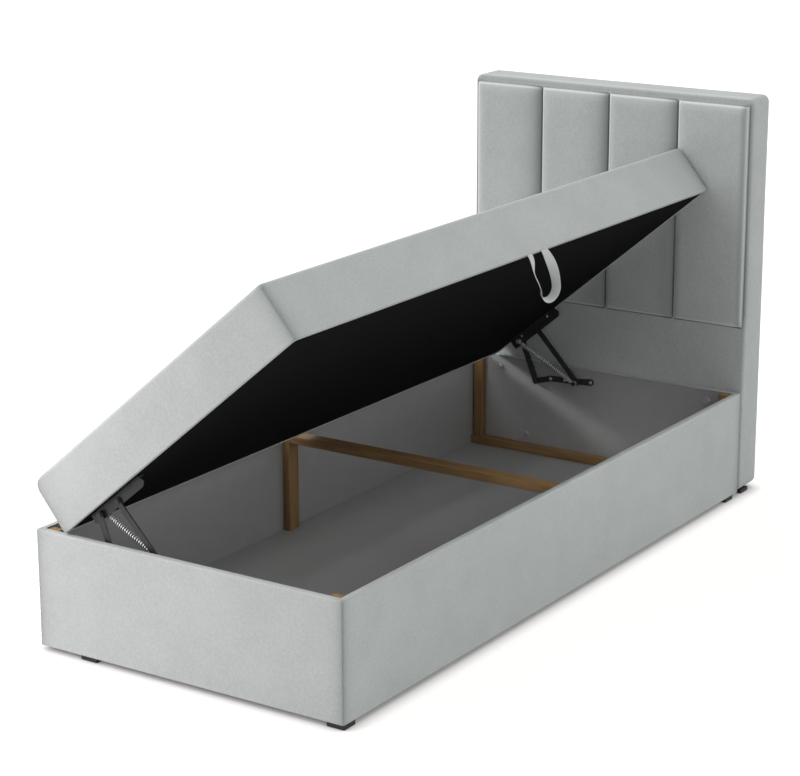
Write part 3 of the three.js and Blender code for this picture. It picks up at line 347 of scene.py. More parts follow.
def slack(a, b, level, height):
    """Slow unevenness of stretched cloth: a sum of four sines of place, height at its highest."""
    return height / 4 * (
        np.sin(9.1 * a + 4.3 * level + 0.7) + np.sin(6.7 * b + 11.9 * level + 2.1)
        + np.sin(17.3 * (a + 0.6 * b) + 1.3) + np.sin(13.1 * (b - 0.4 * a) - 21 * level))


def quarter(steps):
    """Angles from 0 to a right angle."""
    return np.linspace(0, math.pi / 2, steps + 1)


def from_lid(u, y, n):
    """The lid's own (u, y, n) in the model's frame: turned about Y by the tilt, from its lower edge."""
    x = LID_EDGE[0] + u * math.cos(LID_TILT) - n * math.sin(LID_TILT)
    z = LID_EDGE[1] + u * math.sin(LID_TILT) + n * math.cos(LID_TILT)
    return np.stack([x, y, z], axis=-1)


def lid_upholstery(material):
    """Skin of the lid, a profile carried round a rectangle: hem, a small round, a bulging side, the
    top round and a crowned top. On the hinge side u moves in by r - sqrt(r^2 - (n - top + r)^2), a
    larger round over the whole length."""
    low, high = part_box("lid_cover")
    half = (LID_WIDTH / 2, (high.y - low.y) / 2 - LID_END_GAP)
    middle = (LID_WIDTH / 2, (high.y + low.y) / 2)
    columns = loop_columns((90, 44))
    angle = columns[0]
    side_top = LID_TOP - LID_TOP_ROUND
    hem = np.array([1, 0.7, 0.35]) * HEM_WIDTH
    under, side, over = quarter(4), np.linspace(0, 1, 34)[1:-1], quarter(10)
    top = np.linspace(0, 1, 24)[1:]
    inset = np.concatenate([
        hem, LID_BOTTOM_ROUND * (1 - np.sin(under)), 0 * side, LID_TOP_ROUND * (1 - np.cos(over)),
        LID_TOP_ROUND + top * (half[0] - MIDDLE_GAP - LID_TOP_ROUND)])[:, None]
    level = np.concatenate([
        0 * hem, LID_BOTTOM_ROUND * (1 - np.cos(under)),
        LID_BOTTOM_ROUND + side * (side_top - LID_BOTTOM_ROUND), side_top + LID_TOP_ROUND * np.sin(over),
        LID_TOP + LID_CROWN * (1 - (1 - top) ** LID_CROWN_POWER)])[:, None]
    above = np.clip(level - LID_TOP + LID_HINGE_ROUND, 0, LID_HINGE_ROUND)
    hinge = LID_HINGE_ROUND - np.sqrt(LID_HINGE_ROUND ** 2 - above ** 2) - inset * (above > 0)
    hinge[-len(top):, 0] = (LID_HINGE_ROUND - LID_TOP_ROUND) * (1 - top)
    bulge = LID_BULGE * np.sin(math.pi * ramp(level, LID_TOP))
    radius = np.minimum(LID_CORNER + 0.25 * inset, half[0] - inset - 1 * MM)
    a, b = rounded_loops(columns, half, inset, radius, bulge)
    level = level + 0 * a
    # Seams and slack die out over the top round and just above the hem
    on_side = bell(inset, 12 * MM) * ramp(level, 6 * MM)
    relief = on_side * (seam_relief(a, b, level, half, LID_CORNER) + slack(a, b, level, LID_SLACK))
    # Painted shade beside the corner seams, fading out over the top round
    shade = seam_shade(a, b, half, LID_CORNER) * bell(inset, 30 * MM)
    a, b = a + relief * np.cos(angle), b + relief * np.sin(angle)
    a = a + hinge * ramp(half[0] - a, 2 * half[0])
    points = from_lid(middle[0] + a, middle[1] + b, level)
    faces = capped_faces(len(inset), len(angle))
    piece = make_mesh("lid_upholstery", points, faces, material, shade_uv(shade))
    return thicken(close_and_face_out(piece), CLOTH)


def underside_cloth(material):
    """Black cloth in the lid's hem: a flat grid with a faint ripple, sin(61 y) sin(43 u + 1), times
    4 s (1 - s) and 4 t (1 - t) for the shares s and t across it, so that its edges lie flat."""
    low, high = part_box("lid_cover")
    start, end = low.y + LID_END_GAP + HEM_WIDTH, high.y - LID_END_GAP - HEM_WIDTH
    overlap = 3 * MM
    steps = (60, 110)
    share_u, share_v = share_grid(*steps)
    u = HEM_WIDTH - overlap + share_u * (LID_WIDTH - 2 * (HEM_WIDTH - overlap))
    y = start - overlap + share_v * (end - start + 2 * overlap)
    ripple = 0.25 * MM * np.sin(61 * y) * np.sin(43 * u + 1)
    n = 0.7 * MM + ripple * 16 * share_u * (1 - share_u) * share_v * (1 - share_v)
    points = from_lid(u, y, n)
    piece = make_mesh("underside_lining", points, surface_faces(*steps, False), material)
    thicken(piece, UNDERSIDE_CLOTH)
    return piece, (float(np.ptp(u)), float(np.ptp(y)))


def box_upholstery(material):
    """Velvet round the box, a profile carried round a rectangle: turned under at the bottom, up the
    side and over the rim to its inside."""
    low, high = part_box("box_cover")
    half = ((high.x - low.x) / 2, (high.y - low.y) / 2)
    middle_y = (high.y + low.y) / 2
    columns = loop_columns((110, 60))
    side_top = high.z - BOX_TOP_ROUND
    under, over, inner = quarter(4), quarter(7), quarter(3)[1:]
    side, rim = np.linspace(0, 1, 42)[1:-1], np.array([0.25, 0.5, 0.75, 0.93])
    inset = np.concatenate([
        BOX_UNDER * (1 - np.sin(under)), 0 * side, BOX_TOP_ROUND * (1 - np.cos(over)),
        BOX_TOP_ROUND + rim * (BOX_RIM - BOX_TOP_ROUND),
        BOX_RIM - BOX_INNER_ROUND * (1 - np.sin(inner))])[:, None]
    level = np.concatenate([
        low.z + BOX_UNDER * (1 - np.cos(under)),
        low.z + BOX_UNDER + side * (side_top - low.z - BOX_UNDER),
        side_top + BOX_TOP_ROUND * np.sin(over), high.z + 0 * rim,
        high.z - BOX_INNER_ROUND * (1 - np.cos(inner))])[:, None]
    radius = np.maximum(BOX_CORNER - 0.3 * inset, 0.3 * MM)
    a, b = rounded_loops(columns, half, inset, radius, 0 * inset)
    level = level + 0 * a
    # Seams and slack die out over the rim and just above the floor, and stay inside the solid
    on_side = bell(inset, 3 * MM) * ramp(level - low.z, 5 * MM)
    relief = seam_relief(a, b, level, half, BOX_CORNER) - BOX_SLACK + slack(a, b, level, BOX_SLACK)
    relief = on_side * relief
    # Painted shade beside the corner seams
    shade = seam_shade(a, b, half, BOX_CORNER)
    angle = columns[0]
    a, b = a + relief * np.cos(angle), b + relief * np.sin(angle)
    points = np.stack([a, b + middle_y, level], axis=-1)
    faces = surface_faces(len(inset), len(angle), True)
    piece = make_mesh("box_upholstery", points, faces, material, shade_uv(shade))
    thicken(piece, CLOTH)
    girth = 4 * (half[0] + half[1])
    return piece, (girth, high.z - low.z + BOX_RIM)


def headboard_shade(a, y, z, half_width, front, top):
    """Painted shade on the headboard's velvet: beside the channels, where shade falls between them and
    the frame, more faintly above them, and at its right edge. A painted highlight along the top of its
    front edge."""
    pad_low, pad_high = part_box("channel_pad_1")[0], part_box("channel_pad_4")[1]
    beside = fade(np.abs(np.abs(a) - pad_high.x), 8 * MM)
    on_top = ramp(z - pad_high.z, 10 * MM)
    above_foot = ramp(z - pad_low.z, 20 * MM) * fade(y - front, 13 * MM)
    shade = above_foot * (0.8 * beside * (1 - on_top) + 0.12 * on_top)
    shade = shade + 0.07 * ramp(a - half_width + 8 * MM, 6 * MM)
    return shade, 0.3 * ramp(z - top + 4 * MM, 3 * MM) * bell(y - front - 9 * MM, 16 * MM)


def headboard_upholstery(material):
    """Velvet of the headboard, a profile carried round an upright rectangle: hem at the back, a large
    back round, side, small front round, front."""
    low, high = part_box("headboard_cover")
    half = ((high.x - low.x) / 2, (high.z - low.z) / 2)
    columns = loop_columns((70, 60))
    front = low.y
    hem = np.array([HEAD_HEM, 0.9 * HEAD_HEM, HEAD_BACK_ROUND + 1 * MM])
    back, side, fore = quarter(10), np.linspace(0, 1, 10)[1:-1], quarter(12)
    face = np.linspace(0, 1, 34)[1:] ** 2.2
    inset = np.concatenate([
        hem, HEAD_BACK_ROUND * (1 - np.sin(back)), 0 * side, HEAD_FRONT_ROUND * (1 - np.cos(fore)),
        HEAD_FRONT_ROUND + face * (half[0] - MIDDLE_GAP - HEAD_FRONT_ROUND)])[:, None]
    y = np.concatenate([
        high.y + 0 * hem, high.y - HEAD_BACK_ROUND * (1 - np.cos(back)),
        high.y - HEAD_BACK_ROUND + side * (front + HEAD_FRONT_ROUND - high.y + HEAD_BACK_ROUND),
        front + HEAD_FRONT_ROUND * (1 - np.sin(fore)), front + 0 * face])[:, None]
    radius = np.minimum(HEAD_CORNER + 0.6 * inset, half[0] - inset - 1 * MM)
    a, b = rounded_loops(columns, half, inset, radius, 0 * inset)
    y = y + 0 * a
    angle = columns[0]
    relief = bell(inset, 20 * MM) * (slack(a, b, y, HEAD_SLACK) - HEAD_SLACK)
    z = b + (high.z + low.z) / 2
    shade, lift = headboard_shade(a, y, z, half[0], front, high.z)
    a, z = a + relief * np.cos(angle), z + relief * np.sin(angle)
    points = np.stack([a, y, z], axis=-1)
    faces = capped_faces(*points.shape[:2])
    piece = make_mesh("headboard_upholstery", points, faces, material, shade_uv(shade, lift))
    return thicken(close_and_face_out(piece), CLOTH)


def edge_rise(distance):
    """How far a stuffed edge has risen: (1 - (1 - d / reach)^p)^(1 / p), steep at first, then flat."""
    left = 1 - ramp(distance, PAD_REACH)
    return (1 - left ** PAD_POWER) ** (1 / PAD_POWER)


def crowded(steps):
    """Shares from 0 to 1 that crowd towards both ends."""
    half = 0.5 * np.linspace(0, 1, steps + 1) ** PAD_CROWD_POWER
    return np.concatenate([half, 1 - half[-2::-1]])


def border(rows, columns):
    """Numbers of the points round the border of a grid, in order."""
    grid = np.arange(rows * columns).reshape(rows, columns)
    return np.concatenate([grid[0, :-1], grid[:-1, -1], grid[-1, :0:-1], grid[:0:-1, 0]])


def channel_shade(number, to_left, to_right, near_end, strip):
    """Painted shade and painted highlight on a channel. Painted shade towards its right, where it leans
    away from the light, and along its rim and its seam strip, where shade falls between the channels
    and below them. A painted highlight along the left and the ends. The last channel has only a soft
    painted shade inside its right edge, and a painted highlight all round."""
    rim = np.minimum(np.minimum(to_left, to_right), near_end)
    if number == 4:
        shade = 0.42 * bell(to_right - 13 * MM, 9 * MM)
        light_edge = rim
    else:
        shade = 0.82 * fade(to_right, 27 * MM)
        light_edge = np.minimum(to_left, near_end)
    shade = np.clip(shade + 0.8 * bell(np.clip(rim, 0, None), 1.7 * MM) + strip, 0, 0.95)
    lift = 0.6 * bell(light_edge - 4.5 * MM, 2.8 * MM) + 0.42 * fade(light_edge, 12 * MM)
    lift = np.clip(lift * (1 - shade) * (1 - 0.7 * fade(to_right, 8 * MM)), 0, 1)
    return shade.reshape(-1), lift.reshape(-1)


def channel(number, material):
    """One stuffed channel: height = rise(dx) * rise(dz), its sides drawn in between the corners
    and its outline's corners rounded by moving each square of a corner onto a disc. A strip of its
    seam lies flat below it."""
    low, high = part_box(f"channel_pad_{number}")
    width, tall, proud = high.x - low.x, high.z - low.z, high.y - low.y
    share_x, share_z = np.meshgrid(crowded(40), np.insert(crowded(64), 0, 0), indexing="ij")
    strip = np.zeros_like(share_x)
    strip[:, 0] = 1
    from_side = width * np.minimum(share_x, 1 - share_x)
    from_end = tall * np.minimum(share_z, 1 - share_z)
    rise = edge_rise(from_side) * edge_rise(from_end)
    ex = np.clip(PAD_CORNER - from_side, 0, None)
    ez = np.clip(PAD_CORNER - from_end, 0, None)
    shrink = 1 - np.maximum(ex, ez) / np.maximum(np.hypot(ex, ez), 1e-9) * (ex + ez > 0)
    shrink = np.where((ex > 0) & (ez > 0), shrink, 0)
    draw = PAD_DRAW_IN * np.sin(math.pi * share_z) * fade(from_side, 20 * MM)
    draw_end = PAD_DRAW_IN * np.sin(math.pi * share_x) * fade(from_end, 20 * MM)
    side, end = np.sign(0.5 - share_x), np.sign(0.5 - share_z)
    x = low.x + width * share_x + side * (draw + ex * shrink)
    z = low.z + tall * share_z + end * (draw_end + ez * shrink) - strip * PAD_STRIP
    pucker = PAD_PUCKER_HEIGHT * np.sin(2 * math.pi * z / PAD_PUCKER_PITCH + number)
    pucker = pucker * fade(from_side, PAD_PUCKER_REACH)
    height = proud * rise * (0.985 + 0.015 * np.sin(2.3 * number + 9 * z)) + pucker * rise
    height[:, :2] = 0.4 * MM
    front = np.stack([x, high.y - height, z], axis=-1)
    back = np.stack([x, high.y + PAD_SINK + 0 * height, z], axis=-1)
    near_end = np.minimum(z - low.z, high.z - z)
    shade, lift = channel_shade(number, x - low.x, high.x - x, near_end, strip)
    shade = shade_uv(np.tile(shade, 2), np.tile(lift, 2))
    faces = surface_faces(*share_x.shape, False)
    both = np.concatenate([front.reshape(-1, 3), back.reshape(-1, 3)])
    edge = border(*share_x.shape)
    after = np.roll(edge, -1)
    walls = np.stack([edge, after, after + share_x.size, edge + share_x.size], axis=-1)
    faces = np.concatenate([faces, faces[:, ::-1] + share_x.size, walls])
    return close_and_face_out(make_mesh(f"channel_{number}", both, faces, material, shade))


def back_lining(material):
    """Cloth stapled over the headboard's back, slack by 0.6 mm between its edges."""
    low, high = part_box("headboard_back_cloth")
    steps = (50, 60)
    share_x, share_z = share_grid(*steps)
    x = low.x + share_x * (high.x - low.x)
    z = low.z + share_z * (high.z - low.z)
    sag = 0.3 * MM * (1 + np.sin(23 * x + 1) * np.sin(17 * z))
    sag = sag * np.sin(math.pi * share_x) * np.sin(math.pi * share_z)
    points = np.stack([x, high.y - sag, z], axis=-1)
    piece = make_mesh("headboard_lining", points, surface_faces(*steps, False)[:, ::-1], material)
    thicken(piece, BACK_CLOTH)
    return piece, (high.x - low.x, high.z - low.z)


def lift_coil(end, wall, inwards, material):
    """Tension spring: a helix of radius r round its axis, with the angle 2 pi turns s for the share s
    of its length, whose turns lie a little closer at both ends. The map says where painted shade
    lies, on the inner side of the wire."""
    lower = np.array([SPRING_LOWER[0], 0, SPRING_LOWER[1]])
    upper = np.array([SPRING_UPPER[0], 0, SPRING_UPPER[1]])
    span = np.linalg.norm(upper - lower)
    axis = (upper - lower) / span
    side = np.array([0.0, 1.0, 0.0])
    up = np.cross(axis, side)
    free = span - 2 * SPRING_SEAT - SPRING_WIRE
    steps, sides = SPRING_TURNS * SPRING_TURN_STEPS, len(SPRING_PAINTED_SHADE)
    share = np.linspace(0, 1, steps + 1)
    eased = share - SPRING_EASE * np.sin(2 * math.pi * share)
    turn = 2 * math.pi * SPRING_TURNS * share
    centre = lower + axis * (SPRING_SEAT + SPRING_WIRE / 2)
    out = np.cos(turn)[:, None] * side + np.sin(turn)[:, None] * up
    path = centre + axis * (free * eased)[:, None] + SPRING_RADIUS * out
    along = unit(np.gradient(path, axis=0))
    out = unit(out - along * (out * along).sum(axis=1)[:, None])
    across = np.cross(along, out)
    angle = np.linspace(0, 2 * math.pi, sides, endpoint=False)[None, :, None]
    ring = (SPRING_WIRE / 2) * (np.cos(angle) * out[:, None] + np.sin(angle) * across[:, None])
    points = path[:, None] + ring
    y = wall + inwards * SPRING_DISTANCE
    points[..., 1] += y
    faces = capped_faces(steps + 1, sides, both_ends=True)
    shade = shade_uv(np.tile(SPRING_PAINTED_SHADE, steps + 1))
    piece = close_and_face_out(make_mesh(f"lift_coil_{end}", points, faces, material, shade))
    start = lower + axis * SPRING_SEAT
    finish = upper - axis * SPRING_SEAT
    return piece, (start[0], y, start[2]), (finish[0], y, finish[2])


def pull_strap(material):
    """Webbing from the lid's edge: each leg leaves square to the lid and bends to hang plumb, the left
    one bowing out, and turns on itself by a right angle as it comes down. The two meet in a loop,
    half an ellipse. Its section is a rounded rectangle, w |cos a|^p by t |sin a|^q with their signs."""
    leg_length = STRAP_DROP - STRAP_DEPTH
    steps, loop_steps, sides, smoothing = 44, 32, 16, 19
    side = np.array([0.0, 1.0, 0.0])

    def lean(share):
        return LID_TILT * (1 - (1 - share) ** STRAP_LEAN)

    def direction(angle):
        return np.stack([-np.sin(angle), 0 * angle, -np.cos(angle)], axis=1)

    def section(values, size, power):
        return size / 2 * np.sign(values) * np.abs(values) ** power

    share = np.linspace(0, 1, steps + 1)
    middle = (share[1:] + share[:-1]) / 2 * leg_length / STRAP_DROP
    step = leg_length / steps * direction(lean(middle))
    line = np.concatenate([np.zeros((1, 3)), np.cumsum(step, axis=0)])
    soft = share ** 2 * (3 - 2 * share)
    spread = STRAP_SPREAD + (STRAP_LOOP - STRAP_SPREAD) * soft
    line[:, 1] = STRAP_SWAY * soft
    down = direction(lean(share * leg_length / STRAP_DROP))
    bow = STRAP_BOW * np.sin(math.pi * share) ** 2
    left, right = line - (spread + bow)[:, None] * side, line + spread[:, None] * side
    last = np.array([-math.sin(lean(1)), 0, -math.cos(lean(1))])
    bend = np.linspace(0, math.pi, loop_steps + 1)[1:-1, None]
    loop = line[-1] + STRAP_DEPTH * np.sin(bend) * last - STRAP_LOOP * np.cos(bend) * side
    path = np.concatenate([left, loop, right[::-1]])
    downs = np.concatenate([down, np.repeat(last[None], len(bend), axis=0), down[::-1]])
    whole = np.linspace(0, 1, len(path))
    turn = np.interp(whole, STRAP_TURN_SHARES, STRAP_TURNS)
    turn = np.pad(turn, smoothing // 2, mode="edge")
    turn = np.convolve(turn, np.full(smoothing, 1 / smoothing), mode="valid")[:, None]
    along = np.gradient(path, axis=0)
    along[0], along[-1] = down[0], -down[0]
    along = unit(along)
    facing = unit(np.cross(side, downs))
    wide = unit(np.cross(facing, along) * np.cos(turn) + facing * np.sin(turn))
    thick = np.cross(along, wide)
    corner = np.linspace(0, 2 * math.pi, sides, endpoint=False)
    w = section(np.cos(corner), STRAP_WIDTH, 0.35)
    t = section(np.sin(corner), STRAP_THICKNESS, 0.55)
    points = path[:, None] + w[None, :, None] * wide[:, None] + t[None, :, None] * thick[:, None]
    u = LID_WIDTH + STRAP_OUTSET + points[..., 0]
    points = from_lid(u, STRAP_MIDDLE + points[..., 1], points[..., 2] - STRAP_ROOT_GAP)
    faces = capped_faces(len(path), sides, both_ends=True)
    run = np.concatenate([[0], np.cumsum(np.linalg.norm(np.diff(path, axis=0), axis=1))])
    uv = np.stack([np.repeat(run, sides), np.tile(w, len(path))], axis=-1)
    return close_and_face_out(make_mesh("strap_webbing", points, faces, material, uv))


def turned_piece(name, profile, places, direction, material):
    """Round solids: each point is place + distance * direction + radius * (cos a, sin a) across it.
    profile lists (radius, distance); one solid for each place."""
    sides = 28
    direction = Vector(direction)
    across = direction.orthogonal().normalized()
    other = direction.cross(across)
    angle = np.linspace(0, 2 * math.pi, sides, endpoint=False)[:, None]
    circle = np.cos(angle) * np.array(across) + np.sin(angle) * np.array(other)
    solid = profile[:, 1, None, None] * np.array(direction) + profile[:, 0, None, None] * circle
    quads = surface_faces(len(profile), sides, True)
    points, faces = [], []
    for k, place in enumerate(places):
        points.append(solid.reshape(-1, 3) + np.array(place))
        faces.append(quads + k * solid.shape[0] * sides)
    piece = make_mesh(name, np.concatenate(points), np.concatenate(faces), material)
    return close_and_face_out(piece, sharp_degrees=40)


# Materials

def linear(hexcode):
    """sRGB hex to linear RGBA."""
    parts = [int(hexcode[k:k + 2], 16) / 255 for k in (1, 3, 5)]
    return tuple(c / 12.92 if c <= 0.04045 else ((c + 0.055) / 1.055) ** 2.4 for c in parts) + (1.0,)


def add(tree, kind, inputs=None, **settings):
    """A node with its settings. Each input, by name or number, has a constant, a hex colour, the
    socket that it is linked from, or the node whose first output in use it is linked from."""
    made = tree.nodes.new(kind)
    for name, value in settings.items():
        setattr(made, name, value)
    for socket, value in (inputs or {}).items():
        if isinstance(value, bpy.types.Node):
            value = next(output for output in value.outputs if output.enabled)
        if isinstance(value, bpy.types.NodeSocket):
            tree.links.new(value, made.inputs[socket])
        else:
            made.inputs[socket].default_value = linear(value) if isinstance(value, str) else value
    return made


def empty_tree(owner):
    """The node tree of a material or of the world, emptied."""
    owner.use_nodes = True
    owner.node_tree.nodes.clear()
    return owner.node_tree


def new_material(name):
    """A material and its empty tree."""
    material = bpy.data.materials.new(name)
    return material, empty_tree(material)


def finished(material, inputs):
    """The material with its shader, whose constants are set on the shader's own sockets."""
    tree = material.node_tree
    shader = add(tree, "ShaderNodeBsdfPrincipled", inputs)
    add(tree, "ShaderNodeOutputMaterial", {"Surface": shader})
    return material


def place_of(tree, scale=(1, 1, 1)):
    """Object coordinates, scaled for a pattern that runs one way."""
    coordinates = add(tree, "ShaderNodeTexCoord")
    return add(tree, "ShaderNodeMapping", {"Vector": coordinates.outputs["Object"], "Scale": scale})


def own_map(tree):
    """The two coordinates of a piece's own map, as outputs X and Y."""
    own = add(tree, "ShaderNodeUVMap", uv_map="weave")
    return add(tree, "ShaderNodeSeparateXYZ", {"Vector": own}).outputs


def velvet_material(name):
    """Velour: a woven polyester ground with a short cut pile. The pile lies unevenly, which gives
    faint clouds a hand wide, a fine grain that is longer upwards, and a pale sheen at grazing
    angles. The piece's own map says where painted shade and painted highlight go: painted shade
    where shade falls beside seams and channels, a painted highlight along edges that face the
    light. Single tufts are drawn three times too wide, so that they show."""
    material, tree = new_material(name)
    plain = place_of(tree)
    nap = place_of(tree, (1, 1, 0.7))
    clouds = add(tree, "ShaderNodeTexNoise", {"Vector": plain, "Scale": 9, "Detail": 3, "Roughness": 0.55})
    grain = add(tree, "ShaderNodeTexNoise", {"Vector": nap, "Scale": 240, "Detail": 4, "Roughness": 0.6})
    pile = add(tree, "ShaderNodeTexNoise", {"Vector": nap, "Scale": 700, "Detail": 2})
    both = add(tree, "ShaderNodeMath", {0: clouds, 1: 0.4, 2: grain}, operation="MULTIPLY_ADD")
    level = add(tree, "ShaderNodeMapRange", {"Value": both, "From Min": 0.46, "From Max": 0.94})
    tone = add(tree, "ShaderNodeMix", {"Factor": level, "A": "#aeb3b1", "B": "#c0c5c3"}, data_type="RGBA")
    own = own_map(tree)
    # Painted shade: darker where the piece's own map X says that shade falls
    pressed = add(tree, "ShaderNodeMix", {"Factor": own["X"], "A": tone, "B": "#646a68"}, data_type="RGBA")
    # Painted highlight: lighter where the piece's own map Y says that light catches an edge
    painted_highlight = add(tree, "ShaderNodeMix", {"Factor": own["Y"], "A": pressed, "B": "#e6eae8"}, data_type="RGBA")
    bump = add(tree, "ShaderNodeBump", {"Height": grain, "Strength": 0.2, "Distance": 0.15 * MM})
    fine = add(tree, "ShaderNodeBump",
               {"Height": pile, "Normal": bump, "Strength": 0.3, "Distance": 0.15 * MM})
    return finished(material, {
        "Base Color": painted_highlight, "Normal": fine, "Roughness": 0.85, "Specular IOR Level": 0.2,
        "Sheen Weight": 0.15, "Sheen Roughness": 0.4, "Sheen Tint": "#eef2f0"})


def nonwoven_material(name):
    """Spunbonded polypropylene cloth, black: loose fibres pressed into dots two millimetres apart,
    drawn three millimetres apart so that they show."""
    material, tree = new_material(name)
    plain = place_of(tree)
    dots = add(tree, "ShaderNodeTexVoronoi", {"Vector": plain, "Scale": 330, "Randomness": 0.15})
    fibres = add(tree, "ShaderNodeTexNoise", {"Vector": plain, "Scale": 420, "Detail": 5, "Roughness": 0.7})
    tone = add(tree, "ShaderNodeMix", {"Factor": fibres, "A": "#121212", "B": "#1d1d1d"}, data_type="RGBA")
    bump = add(tree, "ShaderNodeBump", {"Height": dots, "Strength": 0.4, "Distance": 0.2 * MM})
    return finished(material, {
        "Base Color": tone, "Normal": bump, "Roughness": 0.95, "Specular IOR Level": 0.03})


def laminate_material(name):
    """Chipboard faced with melamine paper pressed against a pearl plate: a soft gloss broken by fine
    pits, and a faint print of the grey paper."""
    material, tree = new_material(name)
    plain = place_of(tree)
    paper = add(tree, "ShaderNodeTexNoise", {"Vector": plain, "Scale": 26, "Detail": 5, "Roughness": 0.6})
    pits = add(tree, "ShaderNodeTexNoise", {"Vector": plain, "Scale": 520, "Detail": 2})
    tone = add(tree, "ShaderNodeMix", {"Factor": paper, "A": "#979898", "B": "#a3a4a3"}, data_type="RGBA")
    gloss = add(tree, "ShaderNodeMapRange", {"Value": paper, "To Min": 0.42, "To Max": 0.58})
    bump = add(tree, "ShaderNodeBump", {"Height": pits, "Strength": 0.15, "Distance": 0.1 * MM})
    return finished(material, {
        "Base Color": tone, "Roughness": gloss, "Normal": bump, "Specular IOR Level": 0.4})


def pine_material(name, scale):
    """Planed pine: growth rings cut lengthways give wavering lines a few millimetres apart, dark late
    wood against pale early wood, with fine pores along the grain. The scale is small along it."""
    material, tree = new_material(name)
    grain = place_of(tree, scale)
    waver = add(tree, "ShaderNodeTexNoise", {"Vector": grain, "Scale": 24, "Detail": 3})
    rings = add(tree, "ShaderNodeTexNoise", {"Vector": grain, "Scale": 170, "Detail": 4, "Distortion": 0.6})
    pores = add(tree, "ShaderNodeTexNoise", {"Vector": grain, "Scale": 1400, "Detail": 2})
    both = add(tree, "ShaderNodeMath", {0: waver, 1: rings}, operation="ADD")
    level = add(tree, "ShaderNodeMapRange", {"Value": both, "From Min": 0.75, "From Max": 1.25})
    tone = add(tree, "ShaderNodeMix", {"Factor": level, "A": "#745938", "B": "#9a7950"}, data_type="RGBA")
    gloss = add(tree, "ShaderNodeMapRange", {"Value": rings, "To Min": 0.5, "To Max": 0.7})
    bump = add(tree, "ShaderNodeBump", {"Height": pores, "Strength": 0.25, "Distance": 0.1 * MM})
    return finished(material, {
        "Base Color": tone, "Roughness": gloss, "Normal": bump, "Specular IOR Level": 0.4})


def coated_steel_material(name):
    """Steel strip, punched and powder coated satin black: the coat flows into a fine orange peel and
    reflects the room softly."""
    material, tree = new_material(name)
    plain = place_of(tree)
    peel = add(tree, "ShaderNodeTexNoise", {"Vector": plain, "Scale": 640, "Detail": 2})
    cast = add(tree, "ShaderNodeTexNoise", {"Vector": plain, "Scale": 40, "Detail": 3})
    tone = add(tree, "ShaderNodeMix", {"Factor": cast, "A": "#1a1b1d", "B": "#272829"}, data_type="RGBA")
    gloss = add(tree, "ShaderNodeMapRange", {"Value": cast, "To Min": 0.34, "To Max": 0.5})
    bump = add(tree, "ShaderNodeBump", {"Height": peel, "Strength": 0.2, "Distance": 0.08 * MM})
    return finished(material, {
        "Base Color": tone, "Roughness": gloss, "Normal": bump,
        "Coat Weight": 0.25, "Coat Roughness": 0.25})


def zinc_material(name, dark, light, rough, painted_shade_colour=None):
    """Bright zinc plate on drawn or headed steel: a blue grey metal with a cloudy gloss. Where a
    colour for painted shade is given, the piece's own map says where it is painted."""
    material, tree = new_material(name)
    cloud = add(tree, "ShaderNodeTexNoise", {"Vector": place_of(tree), "Scale": 260, "Detail": 4})
    tone = add(tree, "ShaderNodeMix", {"Factor": cloud, "A": dark, "B": light}, data_type="RGBA")
    # Painted shade: the given dark colour where the piece's own map says that shade falls
    if painted_shade_colour:
        where = own_map(tree)["X"]
        tone = add(tree, "ShaderNodeMix", {"Factor": where, "A": tone, "B": painted_shade_colour}, data_type="RGBA")
    gloss = add(tree, "ShaderNodeMapRange",
                {"Value": cloud, "To Min": rough - 0.07, "To Max": rough + 0.07})
    return finished(material, {"Base Color": tone, "Roughness": gloss, "Metallic": 1})


def moulded_plastic_material(name):
    """Polypropylene moulded in a sparked mould: even black with a fine matt grain, drawn coarser."""
    material, tree = new_material(name)
    spark = add(tree, "ShaderNodeTexNoise", {"Vector": place_of(tree), "Scale": 900, "Detail": 2})
    tone = add(tree, "ShaderNodeMix", {"Factor": spark, "A": "#101112", "B": "#1b1c1d"}, data_type="RGBA")
    bump = add(tree, "ShaderNodeBump", {"Height": spark, "Strength": 0.3, "Distance": 0.1 * MM})
    return finished(material, {"Base Color": tone, "Normal": bump, "Roughness": 0.5})


def webbing_material(name):
    """Polyester webbing in a plain weave: ribs across the tape 1.6 mm apart and warp threads along
    it, drawn from the strap's own length and width."""
    material, tree = new_material(name)
    own = own_map(tree)
    waves = []
    for socket, pitch in (("X", 1.6 * MM), ("Y", 1.1 * MM)):
        phase = add(tree, "ShaderNodeMath", {0: own[socket], 1: 2 * math.pi / pitch}, operation="MULTIPLY")
        waves.append(add(tree, "ShaderNodeMath", {0: phase}, operation="SINE"))
    weave = add(tree, "ShaderNodeMath", {0: waves[0], 1: waves[1]}, operation="MULTIPLY")
    level = add(tree, "ShaderNodeMapRange", {"Value": weave, "From Min": -1})
    tone = add(tree, "ShaderNodeMix", {"Factor": level, "A": "#b9bcbb", "B": "#d3d6d5"}, data_type="RGBA")
    bump = add(tree, "ShaderNodeBump", {"Height": weave, "Strength": 0.5, "Distance": 0.25 * MM})
    return finished(material, {
        "Base Color": tone, "Normal": bump, "Roughness": 0.75, "Sheen Weight": 0.2})


def plywood_material(name):
    """Rotary cut birch plywood: broad pale figure with short dark pores."""
    material, tree = new_material(name)
    grain = place_of(tree, (0.3, 0.06, 1))
    figure = add(tree, "ShaderNodeTexNoise", {"Vector": grain, "Scale": 60, "Detail": 5, "Distortion": 1.2})
    tone = add(tree, "ShaderNodeMix", {"Factor": figure, "A": "#b48f5c", "B": "#d2b380"}, data_type="RGBA")
    return finished(material, {"Base Color": tone, "Roughness": 0.65})


